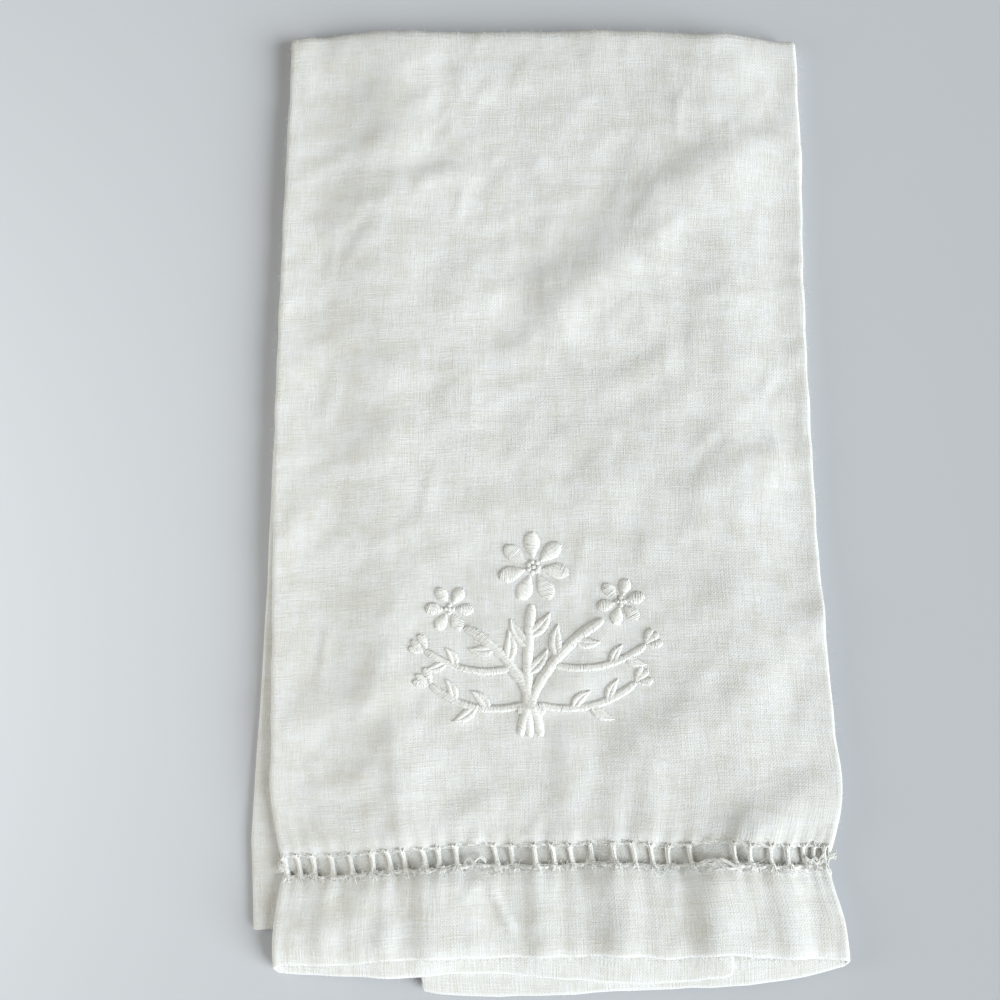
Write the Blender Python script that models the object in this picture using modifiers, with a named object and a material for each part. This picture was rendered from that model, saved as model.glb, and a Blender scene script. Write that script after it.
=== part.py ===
"""A linen guest towel with an openwork band above its hem, folded in thirds and then in half.

The cloth is one sheet. It is drawn flat first, as a grid whose columns run along the towel and whose rows
run across it, with the gaps of the openwork band left out. Every point of the grid is then carried to its
place in the folded towel, and the sheet gets its thickness last.

The two side panels are folded in behind the front, the left one first. The towel is then folded in half
across, with that fold at the far end, so six layers lie on each other where both side panels reach.
"""

import math
from typing import NamedTuple

import bmesh
import bpy
import numpy as np

MM = 0.001

# The cloth and its layers
THICKNESS = 1.0 * MM
LAYER_PITCH = 1.5 * MM
FOLD_RADIUS = LAYER_PITCH / 2
FOLD_LENGTH = math.pi * FOLD_RADIUS

# The flat widths of the three panels, and the lengths before and after the crosswise fold
LEFT_PANEL = 117 * MM
FRONT_PANEL = 147 * MM
RIGHT_PANEL = 109 * MM
FRONT_LENGTH = 255 * MM
BACK_LENGTH = 247 * MM
TURN_LENGTH = math.pi * 1.5 * LAYER_PITCH

# The openwork band: bundles of threads stand as bars between the gaps
HEM = 22 * MM
BAND = 4.6 * MM
BAR = 1.0 * MM
BAR_LEAN = 1.4 * MM
LEFT_GAPS, FRONT_GAPS, RIGHT_GAPS = 24, 30, 22

# How finely the sheet is divided
FOLD_STEPS = 4
TURN_STEPS = 6
FRONT_ROWS = (7, 14, 19, 29.5, 34, 42, 56, 72, 90, 110, 132, 155, 178, 200, 220, 238)
BACK_ROWS = (12, 40, 80, 120, 160, 200, 228)
FINE_UP_TO = 60 * MM
COARSE_STEP = 2

# Where the lower layers end and the upper ones sink: the two slopes run beside the selvedges
LEFT_SLOPE = (-67 * MM, -40.5 * MM)
RIGHT_SLOPE = (48 * MM, 70 * MM)
SLOPE_MARGIN = 2 * MM

# How far a crease in the front lifts each layer, as a share of its height
LEFT_PANEL_LIFT = 0.5
RIGHT_PANEL_LIFT = 0.25
CALM_LENGTH = 18 * MM

# Past the back's hem nothing carries the front, which sinks by this share of the back's height
SINK_START = 0.5 * MM
SINK_LENGTH = 17 * MM
SINK_SHARE = 0.75

# The towel bears on its underside's four corners, which the rest of the underside clears by a hair
CORNER_REST = 0.03 * MM
CORNER_X = (50 * MM, 78 * MM)
CORNER_Y = (90 * MM, 131 * MM)

# What brings the outline's own middle to the origin
SHIFT_X = 0.5 * MM
SHIFT_Y = 0.4 * MM


class Sides(NamedTuple):
    """The two side folds at a distance along the towel, from the front hem over the crosswise fold."""

    along: float
    left: float
    right: float


SIDES = (
    Sides(0, -71.0, 77.3),
    Sides(10, -70.9, 76.1),
    Sides(24.5, -69.2, 72.9),
    Sides(33, -71.0, 75.1),
    Sides(42, -72.7, 77.0),
    Sides(60, -73.2, 75.9),
    Sides(92, -74.0, 74.2),
    Sides(140, -74.9, 73.2),
    Sides(182, -74.7, 73.0),
    Sides(222, -74.1, 73.9),
    Sides(255, -73.6, 73.7),
    Sides(265, -73.6, 73.5),
    Sides(376, -75.6, 71.8),
    Sides(450, -76.9, 71.0),
    Sides(490, -78.0, 70.0),
    Sides(509, -76.4, 71.2),
)


class Ends(NamedTuple):
    """Where each layer's hem and the crosswise fold's axis lie, at a distance from the middle line."""

    x: float
    front: float
    left_panel: float
    right_panel: float
    back: float
    fold: float


ENDS = (
    Ends(-78, -126.9, -128.6, -133.2, -117.9, 129.4),
    Ends(-66, -126.4, -128.9, -133.2, -118.1, 129.6),
    Ends(-52, -125.7, -129.1, -133.3, -118.4, 129.7),
    Ends(-38, -124.0, -129.3, -133.6, -118.8, 129.0),
    Ends(-20, -123.5, -127.8, -134.5, -119.2, 129.4),
    Ends(0, -123.2, -129.1, -134.3, -119.5, 129.6),
    Ends(20, -122.8, -130.5, -133.0, -119.8, 129.8),
    Ends(33, -123.7, -130.3, -132.5, -120.1, 129.6),
    Ends(44, -122.5, -128.8, -132.0, -120.3, 128.8),
    Ends(58, -124.0, -128.5, -130.8, -120.6, 129.4),
    Ends(68, -124.3, -128.5, -129.1, -120.8, 129.0),
    Ends(78, -125.3, -128.5, -126.4, -121.0, 128.5),
)


class Crease(NamedTuple):
    """A soft ridge in the front, from one point to another, with a width on each side of its crest."""

    x0: float
    y0: float
    x1: float
    y1: float
    height: float
    left_width: float
    right_width: float


CREASES = (
    Crease(-58, -126, -58, -103, 0.8, 6, 7),
    Crease(-29, -126, -31, -100, 1.7, 4.5, 12),
    Crease(-2, -126, -3, -98, 1.2, 4, 6),
    Crease(18, -126, 16, -98, 1.6, 5, 8),
    Crease(43, -126, 42, -98, 1.7, 4.5, 6),
    Crease(64, -126, 61, -98, 1.8, 5, 6),
    Crease(-38, -97, -40, -70, 0.9, 4, 8),
    Crease(4, -97, 5, -72, 0.8, 5, 7),
    Crease(52, -96, 76, -80, 1.8, 7, 10),
    Crease(22, -76, 44, -60, 1.0, 8, 9),
    Crease(34, -10, 66, 6, 0.9, 7, 9),
    Crease(8, 48, 36, 82, 1.6, 9, 12),
    Crease(36, 82, 72, 98, 1.5, 9, 13),
)


def through_rows(value, knots, heights):
    """A smooth curve through a table's rows: cubic pieces whose slopes are the rows' own mean slopes."""
    knots = np.asarray(knots) * MM
    heights = np.asarray(heights) * MM
    slopes = np.gradient(heights, knots)
    value = np.clip(value, knots[0], knots[-1])
    i = np.clip(np.searchsorted(knots, value) - 1, 0, len(knots) - 2)
    span = knots[i + 1] - knots[i]
    t = (value - knots[i]) / span
    rise = heights[i] * (1 - t) ** 2 * (1 + 2 * t) + heights[i + 1] * t**2 * (3 - 2 * t)
    lean = slopes[i] * t * (1 - t) ** 2 - slopes[i + 1] * t**2 * (1 - t)
    return rise + lean * span


def side(along, name):
    return through_rows(along, [row.along for row in SIDES], [getattr(row, name) for row in SIDES])


def end(x, name):
    return through_rows(x, [row.x for row in ENDS], [getattr(row, name) for row in ENDS])


def smooth_step(value, low, high):
    t = np.clip((value - low) / (high - low), 0, 1)
    return t * t * (3 - 2 * t)


def crease_height(x, y):
    """The height of all creases at a place: each is a bell across its line, fading at the line's ends."""
    total = np.zeros_like(x)
    for crease in CREASES:
        run = np.array([crease.x1 - crease.x0, crease.y1 - crease.y0]) * MM
        length = np.hypot(*run)
        dx, dy = x - crease.x0 * MM, y - crease.y0 * MM
        along = (dx * run[0] + dy * run[1]) / length
        across = (dx * run[1] - dy * run[0]) / length
        width = np.where(across < 0, crease.left_width, crease.right_width) * MM
        beyond = np.maximum(np.maximum(-along, along - length), 0)
        total += crease.height * MM * np.exp(-((across / width) ** 2) - (beyond / width) ** 2)
    return total


def fold(across, along):
    """Carries points of the flat sheet to their places in the folded towel.

    Across the sheet, the left panel turns through a half circle into the front, and the front through
    another into the right panel. A layer's height above the middle plane is a count of layers below it. The
    crosswise fold then turns each layer about the fold's axis, with that height as its radius.
    """
    left_turn_end = LEFT_PANEL + FOLD_LENGTH
    right_turn_start = left_turn_end + FRONT_PANEL
    right_turn_end = right_turn_start + FOLD_LENGTH
    left_turn = np.clip((across - LEFT_PANEL) / FOLD_LENGTH, 0, 1) * math.pi
    right_turn = np.clip((across - right_turn_start) / FOLD_LENGTH, 0, 1) * math.pi
    share = np.clip((across - left_turn_end) / FRONT_PANEL, 0, 1)

    left_inside = side(along, "left") + FOLD_RADIUS
    right_inside = side(along, "right") - FOLD_RADIUS
    x = left_inside + share * (right_inside - left_inside)
    x += np.maximum(LEFT_PANEL - across, 0) - FOLD_RADIUS * np.sin(left_turn)
    x -= np.maximum(across - right_turn_end, 0) - FOLD_RADIUS * np.sin(right_turn)

    in_left_panel = (1 + np.cos(left_turn)) / 2
    in_right_panel = (1 - np.cos(right_turn)) / 2
    in_front = 1 - in_left_panel - in_right_panel
    left_rise = smooth_step(x, *LEFT_SLOPE)
    both_panels = left_rise * (1 - smooth_step(x, *RIGHT_SLOPE))
    middle_plane = LAYER_PITCH * (2 + both_panels)
    height = LAYER_PITCH * (0.5 + in_front * (1 + both_panels) + in_left_panel * left_rise)

    turn = np.clip((along - FRONT_LENGTH) / TURN_LENGTH, 0, 1) * math.pi
    up_front = np.clip(along / FRONT_LENGTH, 0, 1)
    down_back = np.clip((along - FRONT_LENGTH - TURN_LENGTH) / BACK_LENGTH, 0, 1)
    hem = (
        in_front * end(x, "front")
        + in_left_panel * end(x, "left_panel")
        + in_right_panel * end(x, "right_panel")
    )
    axis = end(x, "fold")
    y = hem + up_front * (axis - hem) + down_back * (end(x, "back") - axis) + height * np.sin(turn)

    lift_share = in_front + in_left_panel * LEFT_PANEL_LIFT + in_right_panel * RIGHT_PANEL_LIFT
    calm = 1 - smooth_step(along, FRONT_LENGTH - CALM_LENGTH, FRONT_LENGTH)
    lift = crease_height(x, y) * lift_share * calm
    past_back = end(x, "back") - y - SINK_START
    sink = middle_plane * SINK_SHARE * smooth_step(past_back, 0, SINK_LENGTH) * (down_back == 0)
    at_corner = smooth_step(np.abs(x), *CORNER_X) * smooth_step(np.abs(y), *CORNER_Y)
    rest = CORNER_REST * (1 - at_corner)
    underside = (LAYER_PITCH - THICKNESS) / 2
    z = middle_plane + height * np.cos(turn) + lift - sink + rest - underside
    return np.stack([x + SHIFT_X, y + SHIFT_Y, z], axis=-1)


class Column(NamedTuple):
    """A line along the flat sheet, where it is needed, and whether it slips to make the bars lean."""

    across: float
    needed: str
    leans: bool


def panel_columns(start, width, gaps):
    """The columns of one panel of the band: the near and far side of each gap, and then the panel's end."""
    pitch = width / gaps
    columns = []
    for i in range(gaps):
        near = start + i * pitch + BAR / 2
        far = start + (i + 1) * pitch - BAR / 2
        columns.append(Column(near, "near the hem" if i % COARSE_STEP else "everywhere", i > 0))
        columns.append(Column(far, "in the band", i < gaps - 1))
    columns.append(Column(start + width, "everywhere", False))
    return columns


def turn_columns(start):
    steps = range(1, FOLD_STEPS + 1)
    return [Column(start + FOLD_LENGTH * i / FOLD_STEPS, "everywhere", False) for i in steps]


def sheet_columns():
    """Every column from the left panel's selvedge to the right panel's, in the flat sheet's order."""
    columns = [Column(0.0, "everywhere", False)]
    columns += panel_columns(0.0, LEFT_PANEL, LEFT_GAPS)
    columns += turn_columns(columns[-1].across)
    columns += panel_columns(columns[-1].across, FRONT_PANEL, FRONT_GAPS)
    columns += turn_columns(columns[-1].across)
    columns += panel_columns(columns[-1].across, RIGHT_PANEL, RIGHT_GAPS)
    return columns


def sheet_rows():
    """Every row from the front hem, over the crosswise fold, to the back hem."""
    front = sorted([0, *(row * MM for row in FRONT_ROWS), HEM, HEM + BAND, FRONT_LENGTH])
    turn = [FRONT_LENGTH + TURN_LENGTH * i / TURN_STEPS for i in range(1, TURN_STEPS + 1)]
    back = [turn[-1] + row for row in (*(row * MM for row in BACK_ROWS), BACK_LENGTH)]
    return front + turn + back


def column_needed(column, along):
    """Whether a column is kept at a distance along the sheet. The slopes keep all that they cross."""
    if column.needed != "near the hem" or along < FINE_UP_TO:
        return column.needed != "in the band"
    x = fold(np.array([column.across]), np.array([along]))[0, 0]
    low, high = LEFT_SLOPE[0] - SLOPE_MARGIN, LEFT_SLOPE[1] + SLOPE_MARGIN
    return low < x < high or x > RIGHT_SLOPE[0] - SLOPE_MARGIN


def flat_sheet(columns, rows):
    """The flat sheet with the gaps of its band open, and no more columns than its folds need."""
    mesh = bmesh.new()
    bmesh.ops.create_grid(mesh, x_segments=len(columns) - 1, y_segments=len(rows) - 1, size=0.5)
    last_column, last_row = len(columns) - 1, len(rows) - 1
    place = {
        vert: (round((vert.co.x + 0.5) * last_column), round((vert.co.y + 0.5) * last_row))
        for vert in mesh.verts
    }
    band_row = rows.index(HEM)
    slip = {band_row: BAR_LEAN / 2, band_row + 1: -BAR_LEAN / 2}
    for vert in mesh.verts:
        column, row = place[vert]
        across, _, leans = columns[column]
        vert.co = (across + slip.get(row, 0) * leans, rows[row], 0)

    gaps = []
    for face in mesh.faces:
        column = min(place[vert][0] for vert in face.verts)
        row = min(place[vert][1] for vert in face.verts)
        if row == band_row and columns[column + 1].needed == "in the band":
            gaps.append(face)
    bmesh.ops.delete(mesh, geom=gaps, context="FACES")

    spare = []
    for edge in mesh.edges:
        (column, row), (other_column, other_row) = (place[vert] for vert in edge.verts)
        row = min(row, other_row)
        if column == other_column and row != band_row and not column_needed(columns[column], rows[row]):
            spare.append(edge)
    bmesh.ops.dissolve_edges(mesh, edges=spare, use_verts=True)
    bmesh.ops.triangulate(mesh, faces=mesh.faces)
    return mesh


def linen():
    material = bpy.data.materials.new("linen")
    material.use_nodes = True
    shader = material.node_tree.nodes["Principled BSDF"]
    shader.inputs["Base Color"].default_value = (0.83, 0.85, 0.84, 1)
    shader.inputs["Roughness"].default_value = 0.9
    shader.inputs["Metallic"].default_value = 0
    return material


def towel(collection):
    sheet = flat_sheet(sheet_columns(), sheet_rows())
    flat = np.array([vert.co[:2] for vert in sheet.verts])
    for vert, point in zip(sheet.verts, fold(flat[:, 0], flat[:, 1])):
        vert.co = point
    mesh = bpy.data.meshes.new("towel")
    sheet.to_mesh(mesh)
    sheet.free()
    mesh.materials.append(linen())
    mesh.shade_smooth()
    cloth = bpy.data.objects.new("towel", mesh)
    collection.objects.link(cloth)
    wall = cloth.modifiers.new("cloth thickness", "SOLIDIFY")
    wall.thickness = THICKNESS
    wall.offset = 0
    wall.use_even_offset = True
    return cloth


def main():
    for old in list(bpy.data.objects):
        bpy.data.objects.remove(old)
    collection = bpy.data.collections.new("linen towel")
    bpy.context.scene.collection.children.link(collection)
    towel(collection)


main()
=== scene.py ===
# %% [markdown]
# # An old linen guest towel, folded and laid flat
#
# The real towel is one length of white plain-woven linen with a deep hem. Above the hem the crosswise threads
# are drawn out, and the lengthwise ones left standing are stitched into little bundles: a hemstitched band.
# The towel is folded in thirds and then in half, so that the band and the embroidery lie on top.
#
# This lesson dresses a finished, plain solid of that towel. The solid is loaded first and never changed: it
# says where the cloth is. Everything that is seen is then worked out with numpy around it.

import math
from typing import NamedTuple

import bpy
import numpy as np
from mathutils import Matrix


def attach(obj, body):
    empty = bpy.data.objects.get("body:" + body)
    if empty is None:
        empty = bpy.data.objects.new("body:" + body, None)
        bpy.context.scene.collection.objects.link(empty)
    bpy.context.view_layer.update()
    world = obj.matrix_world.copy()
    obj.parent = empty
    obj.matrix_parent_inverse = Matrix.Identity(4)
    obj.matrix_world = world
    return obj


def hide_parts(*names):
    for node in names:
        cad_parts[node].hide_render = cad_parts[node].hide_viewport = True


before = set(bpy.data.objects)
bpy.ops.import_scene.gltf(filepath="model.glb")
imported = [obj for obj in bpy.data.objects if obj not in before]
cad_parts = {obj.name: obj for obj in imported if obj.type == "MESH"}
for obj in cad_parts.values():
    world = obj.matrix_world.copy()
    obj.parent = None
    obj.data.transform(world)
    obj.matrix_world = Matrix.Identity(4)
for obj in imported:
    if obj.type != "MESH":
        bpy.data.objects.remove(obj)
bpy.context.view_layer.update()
MM = 0.001

# %% [markdown]
# ## The camera
#
# The photograph was taken with a phone held nearly straight above the towel, with the far end a little
# further away. A phone's main lens takes in about 53 degrees, which a 36 mm lens on a 36 mm sensor does too.
# The place comes from the picture: the middle of the view meets the cloth a little left of the towel's
# middle, from 271 mm away.

# %% Camera
VIEW_TILT = math.radians(8.3)
VIEW_DISTANCE = 270.7 * MM
VIEW_MIDDLE = np.array([-12.2, -5.4, 8.0]) * MM
LENS_MM = 36
SENSOR_MM = 36

lens = bpy.data.cameras.new("camera")
lens.lens = LENS_MM
lens.sensor_width = SENSOR_MM
lens.clip_start = 10 * MM
camera = bpy.data.objects.new("camera", lens)
towards_camera = np.array([0, -math.sin(VIEW_TILT), math.cos(VIEW_TILT)])
camera.location = VIEW_MIDDLE + VIEW_DISTANCE * towards_camera
camera.rotation_euler = (VIEW_TILT, 0, 0)
bpy.context.scene.collection.objects.link(camera)
bpy.context.scene.camera = camera
print("the camera stands at", [round(value / MM, 1) for value in camera.location], "mm")

# %% [markdown]
# ## Floor and light
#
# White cloth needs light that comes more from one side than from the others, or its creases vanish. A sun
# lamp low on the right, towards the near end, stands for a window: widened to 42 degrees it is soft, and it
# lights the whole floor evenly. A faint lamp on the left brightens the left edge, and a pale world fills the
# shadows. The window is a little cool and the world a little warm, so a flank that faces the window looks
# blue-white and one that turns away looks warm grey, as white linen does indoors. White on white lives in
# the highlights, which Blender's default view flattens, so the plain Standard view is chosen.

# %% Floor, lamps and world
FLOOR_SIZE = 16.0
FLOOR_COLOUR = (0.60, 0.625, 0.66, 1)
WINDOW_PLACE = (2100, -1100, 1100)
WINDOW_STRENGTH = 4.2
WINDOW_COLOUR = (0.915, 0.965, 1.0)
WINDOW_WIDTH = math.radians(42)
DOORWAY_PLACE = (-330, -60, 160)
DOORWAY_STRENGTH = 0.46
DOORWAY_COLOUR = (1.0, 0.98, 0.94)
DOORWAY_SIZE = 200 * MM
WORLD_COLOUR = (1.0, 0.965, 0.875, 1)
WORLD_STRENGTH = 0.27


def plain_material(name, colour, roughness):
    """A finish of one colour and one roughness."""
    material = bpy.data.materials.new(name)
    material.use_nodes = True
    shader = material.node_tree.nodes["Principled BSDF"]
    shader.inputs["Base Color"].default_value = colour
    shader.inputs["Roughness"].default_value = roughness
    return material


def lamp(name, kind, place, energy, colour):
    """A lamp of a kind at a place in mm, turned so that it shines at the towel's middle."""
    light = bpy.data.lights.new(name, kind)
    light.energy = energy
    light.color = colour
    holder = bpy.data.objects.new(name, light)
    x, y, z = place
    holder.location = (x * MM, y * MM, z * MM)
    holder.rotation_euler = (math.atan2(math.hypot(x, y), z), 0, math.atan2(x, -y))
    holder.visible_camera = False
    bpy.context.scene.collection.objects.link(holder)
    return light


half = FLOOR_SIZE / 2
floor_mesh = bpy.data.meshes.new("floor")
floor_corners = [(-half, -half, 0), (half, -half, 0), (half, half, 0), (-half, half, 0)]
floor_mesh.from_pydata(floor_corners, [], [(0, 1, 2, 3)])
floor_mesh.materials.append(plain_material("pale table", FLOOR_COLOUR, 0.95))
floor = bpy.data.objects.new("floor", floor_mesh)
bpy.context.scene.collection.objects.link(floor)

window = lamp("window", "SUN", WINDOW_PLACE, WINDOW_STRENGTH, WINDOW_COLOUR)
window.angle = WINDOW_WIDTH
doorway = lamp("doorway", "AREA", DOORWAY_PLACE, DOORWAY_STRENGTH, DOORWAY_COLOUR)
doorway.size = DOORWAY_SIZE
world = bpy.data.worlds.new("room")
world.use_nodes = True
world.node_tree.nodes["Background"].inputs["Color"].default_value = WORLD_COLOUR
world.node_tree.nodes["Background"].inputs["Strength"].default_value = WORLD_STRENGTH
bpy.context.scene.world = world
bpy.context.scene.view_settings.view_transform = "Standard"
print("floor", FLOOR_SIZE, "m wide, 2 lamps and a pale world")

# %% [markdown]
# ## The fold as a formula
#
# A folded cloth could be simulated, but a pressed fold is exact: each panel turns through a half circle and
# lies flat on the next. So the cloth is drawn flat, with one coordinate across it and one along it, and a
# formula carries every flat point to its folded place. The sizes are the solid's, so the thin cloth lies
# inside it, but for a little droop at the hem and beside the openwork. Two short tables hold what is
# uneven: where the side folds run, and where the hems and the crosswise fold end. Smooth curves go through
# their rows.

# %% The towel's sizes and the two tables
LAYER_PITCH = 1.5 * MM
FOLD_RADIUS = LAYER_PITCH / 2
FOLD_LENGTH = math.pi * FOLD_RADIUS
LEFT_PANEL = 117 * MM
FRONT_PANEL = 147 * MM
RIGHT_PANEL = 109 * MM
FRONT_LENGTH = 255 * MM
BACK_LENGTH = 247 * MM
HEM = 22 * MM
BAND = 4.6 * MM
TURN_LENGTH = math.pi * 1.5 * LAYER_PITCH
FRONT_START = LEFT_PANEL + FOLD_LENGTH
RIGHT_START = FRONT_START + FRONT_PANEL + FOLD_LENGTH
CLOTH_WIDTH = RIGHT_START + RIGHT_PANEL
CLOTH_LENGTH = FRONT_LENGTH + TURN_LENGTH + BACK_LENGTH
LEFT_SLOPE = (-67 * MM, -40.5 * MM)
RIGHT_SLOPE = (48 * MM, 70 * MM)
SHIFT_X = 0.5 * MM
SHIFT_Y = 0.4 * MM


class Sides(NamedTuple):
    """The two side folds at a distance along the towel, in mm, from the front hem over the crosswise fold."""

    along: float
    left: float
    right: float


SIDES = (
    Sides(0, -71.0, 77.3),
    Sides(10, -70.9, 76.1),
    Sides(24.5, -69.2, 72.9),
    Sides(33, -71.0, 75.1),
    Sides(42, -72.7, 77.0),
    Sides(60, -73.2, 75.9),
    Sides(92, -74.0, 74.2),
    Sides(140, -74.9, 73.2),
    Sides(182, -74.7, 73.0),
    Sides(222, -74.1, 73.9),
    Sides(255, -73.6, 73.7),
    Sides(265, -73.6, 73.5),
    Sides(376, -75.6, 71.8),
    Sides(450, -76.9, 71.0),
    Sides(490, -78.0, 70.0),
    Sides(509, -76.4, 71.2),
)


class Ends(NamedTuple):
    """Where each layer's hem and the crosswise fold's axis lie, in mm, at a distance from the middle line."""

    x: float
    front: float
    left_panel: float
    right_panel: float
    back: float
    fold: float


ENDS = (
    Ends(-78, -126.9, -128.6, -133.2, -117.9, 129.4),
    Ends(-66, -126.4, -128.9, -133.2, -118.1, 129.6),
    Ends(-52, -125.7, -129.1, -133.3, -118.4, 129.7),
    Ends(-38, -124.0, -129.3, -133.6, -118.8, 129.0),
    Ends(-20, -123.5, -127.8, -134.5, -119.2, 129.4),
    Ends(0, -123.2, -129.1, -134.3, -119.5, 129.6),
    Ends(20, -122.8, -130.5, -133.0, -119.8, 129.8),
    Ends(33, -123.7, -130.3, -132.5, -120.1, 129.6),
    Ends(44, -122.5, -128.8, -132.0, -120.3, 128.8),
    Ends(58, -124.0, -128.5, -130.8, -120.6, 129.4),
    Ends(68, -124.3, -128.5, -129.1, -120.8, 129.0),
    Ends(78, -125.3, -128.5, -126.4, -121.0, 128.5),
)


def through_rows(value, knots, heights):
    """A smooth curve through a table's rows: cubic pieces whose slopes are the rows' own mean slopes."""
    knots = np.asarray(knots) * MM
    heights = np.asarray(heights) * MM
    slopes = np.gradient(heights, knots)
    value = np.clip(value, knots[0], knots[-1])
    i = np.clip(np.searchsorted(knots, value) - 1, 0, len(knots) - 2)
    span = knots[i + 1] - knots[i]
    t = (value - knots[i]) / span
    rise = heights[i] * (1 - t) ** 2 * (1 + 2 * t) + heights[i + 1] * t**2 * (3 - 2 * t)
    lean = slopes[i] * t * (1 - t) ** 2 - slopes[i + 1] * t**2 * (1 - t)
    return rise + lean * span


def smooth_step(value, low, high):
    """Rises from 0 at low to 1 at high as 3 t squared less 2 t cubed."""
    t = np.clip((value - low) / (high - low), 0, 1)
    return t * t * (3 - 2 * t)


print(f"the flat cloth is {CLOTH_WIDTH / MM:.0f} mm by {CLOTH_LENGTH / MM:.0f} mm")

# %% [markdown]
# ## Creases that can be pointed at
#
# Washed and stored linen keeps soft ridges. The large ones are given one row of a table each: a
# line on the cloth, a height, and a width on either side of the crest. A crest is steeper on the side that
# turns from the window, which is the dark side in the picture. Across its line a crease is a bell curve, and
# it fades out at both ends.

# %% The listed creases
class Crease(NamedTuple):
    """A soft ridge from one point to another, in mm, with a width on each side of its crest."""

    x0: float
    y0: float
    x1: float
    y1: float
    height: float
    left_width: float
    right_width: float


HEM_CREASES = (
    Crease(-64.5, -126, -64, -104, 0.35, 2.2, 3.0),
    Crease(-58, -126, -58, -103, 0.8, 3.5, 4.5),
    Crease(-50, -126, -49, -103, 0.45, 2.4, 3.5),
    Crease(-42, -126, -42, -106, 0.3, 2.0, 3.0),
    Crease(-30, -126, -32, -101, 1.7, 4.4, 12.0),
    Crease(-19, -126, -21, -104, 0.3, 2.2, 3.5),
    Crease(-17.5, -101, -9, -117, 0.75, 0.9, 1.3),
    Crease(-2, -126, -3, -98, 1.2, 3.8, 6.0),
    Crease(7, -126, 7, -106, 0.35, 2.4, 3.0),
    Crease(18, -126, 16, -98, 1.7, 4.8, 7.5),
    Crease(29, -126, 28, -104, 0.4, 3.0, 4.0),
    Crease(43, -126, 40, -98, 1.8, 4.6, 6.5),
    Crease(64, -126, 60, -98, 1.9, 5.0, 6.0),
    Crease(71, -126, 70, -104, 0.3, 2.0, 2.6),
)

FRONT_CREASES = (
    Crease(-38, -97, -40, -64, 1.1, 3.4, 7.0),
    Crease(4, -97, 5, -64, 0.8, 3.6, 6.0),
    Crease(15, -97, 17, -80, 0.6, 3.0, 4.0),
    Crease(24, -97, 27, -76, 0.5, 2.6, 4.0),
    Crease(48, -97, 72, -79, 1.9, 6.0, 9.0),
    Crease(18, -77, 42, -58, 1.1, 6.5, 9.0),
    Crease(-52, -58, -36, -53, 0.3, 2.2, 3.5),
    Crease(-52, -33, -34, -27, 0.35, 2.4, 3.5),
    Crease(38, -38, 50, -34, 0.35, 2.5, 3.0),
    Crease(50, -10, 64, 4, 0.5, 3.5, 4.0),
    Crease(38, -4, 66, 9, 0.9, 4.5, 7.0),
    Crease(12, -6, 21, 18, 0.7, 5.5, 7.5),
    Crease(-54, 6, -38, 15, 0.5, 4.0, 6.0),
    Crease(-54, 30, -36, 32, 0.5, 4.0, 7.0),
    Crease(24, 28, 38, 37, 0.45, 3.5, 5.0),
    Crease(16, 40, 28, 50, 0.7, 4.0, 7.0),
    Crease(0, 46, 22, 62, 2.2, 9.0, 10.0),
    Crease(22, 62, 38, 86, 1.7, 8.0, 9.0),
    Crease(38, 86, 72, 101, 1.5, 6.0, 11.0),
    Crease(42, 52, 74, 54, 0.3, 1.8, 2.4),
    Crease(44, 34, 74, 36, 0.25, 1.8, 2.4),
    Crease(-44, 86, -16, 88, 0.35, 2.2, 3.0),
    Crease(-52, 56, -34, 70, 0.4, 5.0, 8.0),
    Crease(-54, 80, -40, 79, 0.45, 3.0, 4.0),
    Crease(-70, 90, -32, 103, 0.3, 3.0, 4.5),
    Crease(-50, 100, -36, 110, 0.3, 3.0, 4.0),
    Crease(-70, 70, -52, 78, 0.2, 3.0, 4.0),
    Crease(-26, 117, 10, 121, 0.4, 4.0, 5.0),
    Crease(-72, 30, -56, 44, 0.4, 3.0, 5.0),
    Crease(-70, -4, -56, 4, 0.35, 3.0, 4.0),
    Crease(-28, 60, -12, 50, 0.35, 5.0, 7.0),
    Crease(-24, 8, -2, 14, 0.35, 4.0, 6.0),
    Crease(44, -62, 66, -46, 0.45, 4.0, 6.0),
    Crease(-64, -84, -46, -78, 0.35, 3.0, 4.0),
    Crease(-28, -90, -14, -84, 0.3, 3.0, 4.0),
)
END_FADE = 5.0


def soft_ridge(x, y, crease):
    """A bell across the line, narrower on its left, times a smooth fade at either end of the line."""
    x0, y0, x1, y1, height, left_width, right_width = (value * MM for value in crease)
    run_x, run_y = x1 - x0, y1 - y0
    length = math.hypot(run_x, run_y)
    along = ((x - x0) * run_x + (y - y0) * run_y) / length
    across = ((x - x0) * run_y - (y - y0) * run_x) / length
    width = np.where(across < 0, left_width, right_width)
    fade = END_FADE * MM
    ends = smooth_step(along, -fade, fade) * (1 - smooth_step(along, length - fade, length + fade))
    return height * np.exp(-((across / width) ** 2)) * ends


def crease_height(x, y):
    """All listed creases, added up."""
    return sum(soft_ridge(x, y, crease) for crease in HEM_CREASES + FRONT_CREASES)


print(len(HEM_CREASES), "creases in the hem and", len(FRONT_CREASES), "above the band")

# %% [markdown]
# ## Crumple that can't be pointed at
#
# Between those creases the cloth is never quite flat: it has hundreds of faint, short ones, most of them
# running with the threads or on the slant of the large ridges. They are the same soft ridges, with places,
# slants and sizes drawn from a seeded random generator, so that every run gives the same towel. A few
# broad ones come first, then many fine ones.

# %% The crumple
class Crumple(NamedTuple):
    """A family of random creases: how many, and the ranges of their lengths, widths and heights in mm."""

    count: int
    lengths: tuple
    widths: tuple
    heights: tuple


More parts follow.
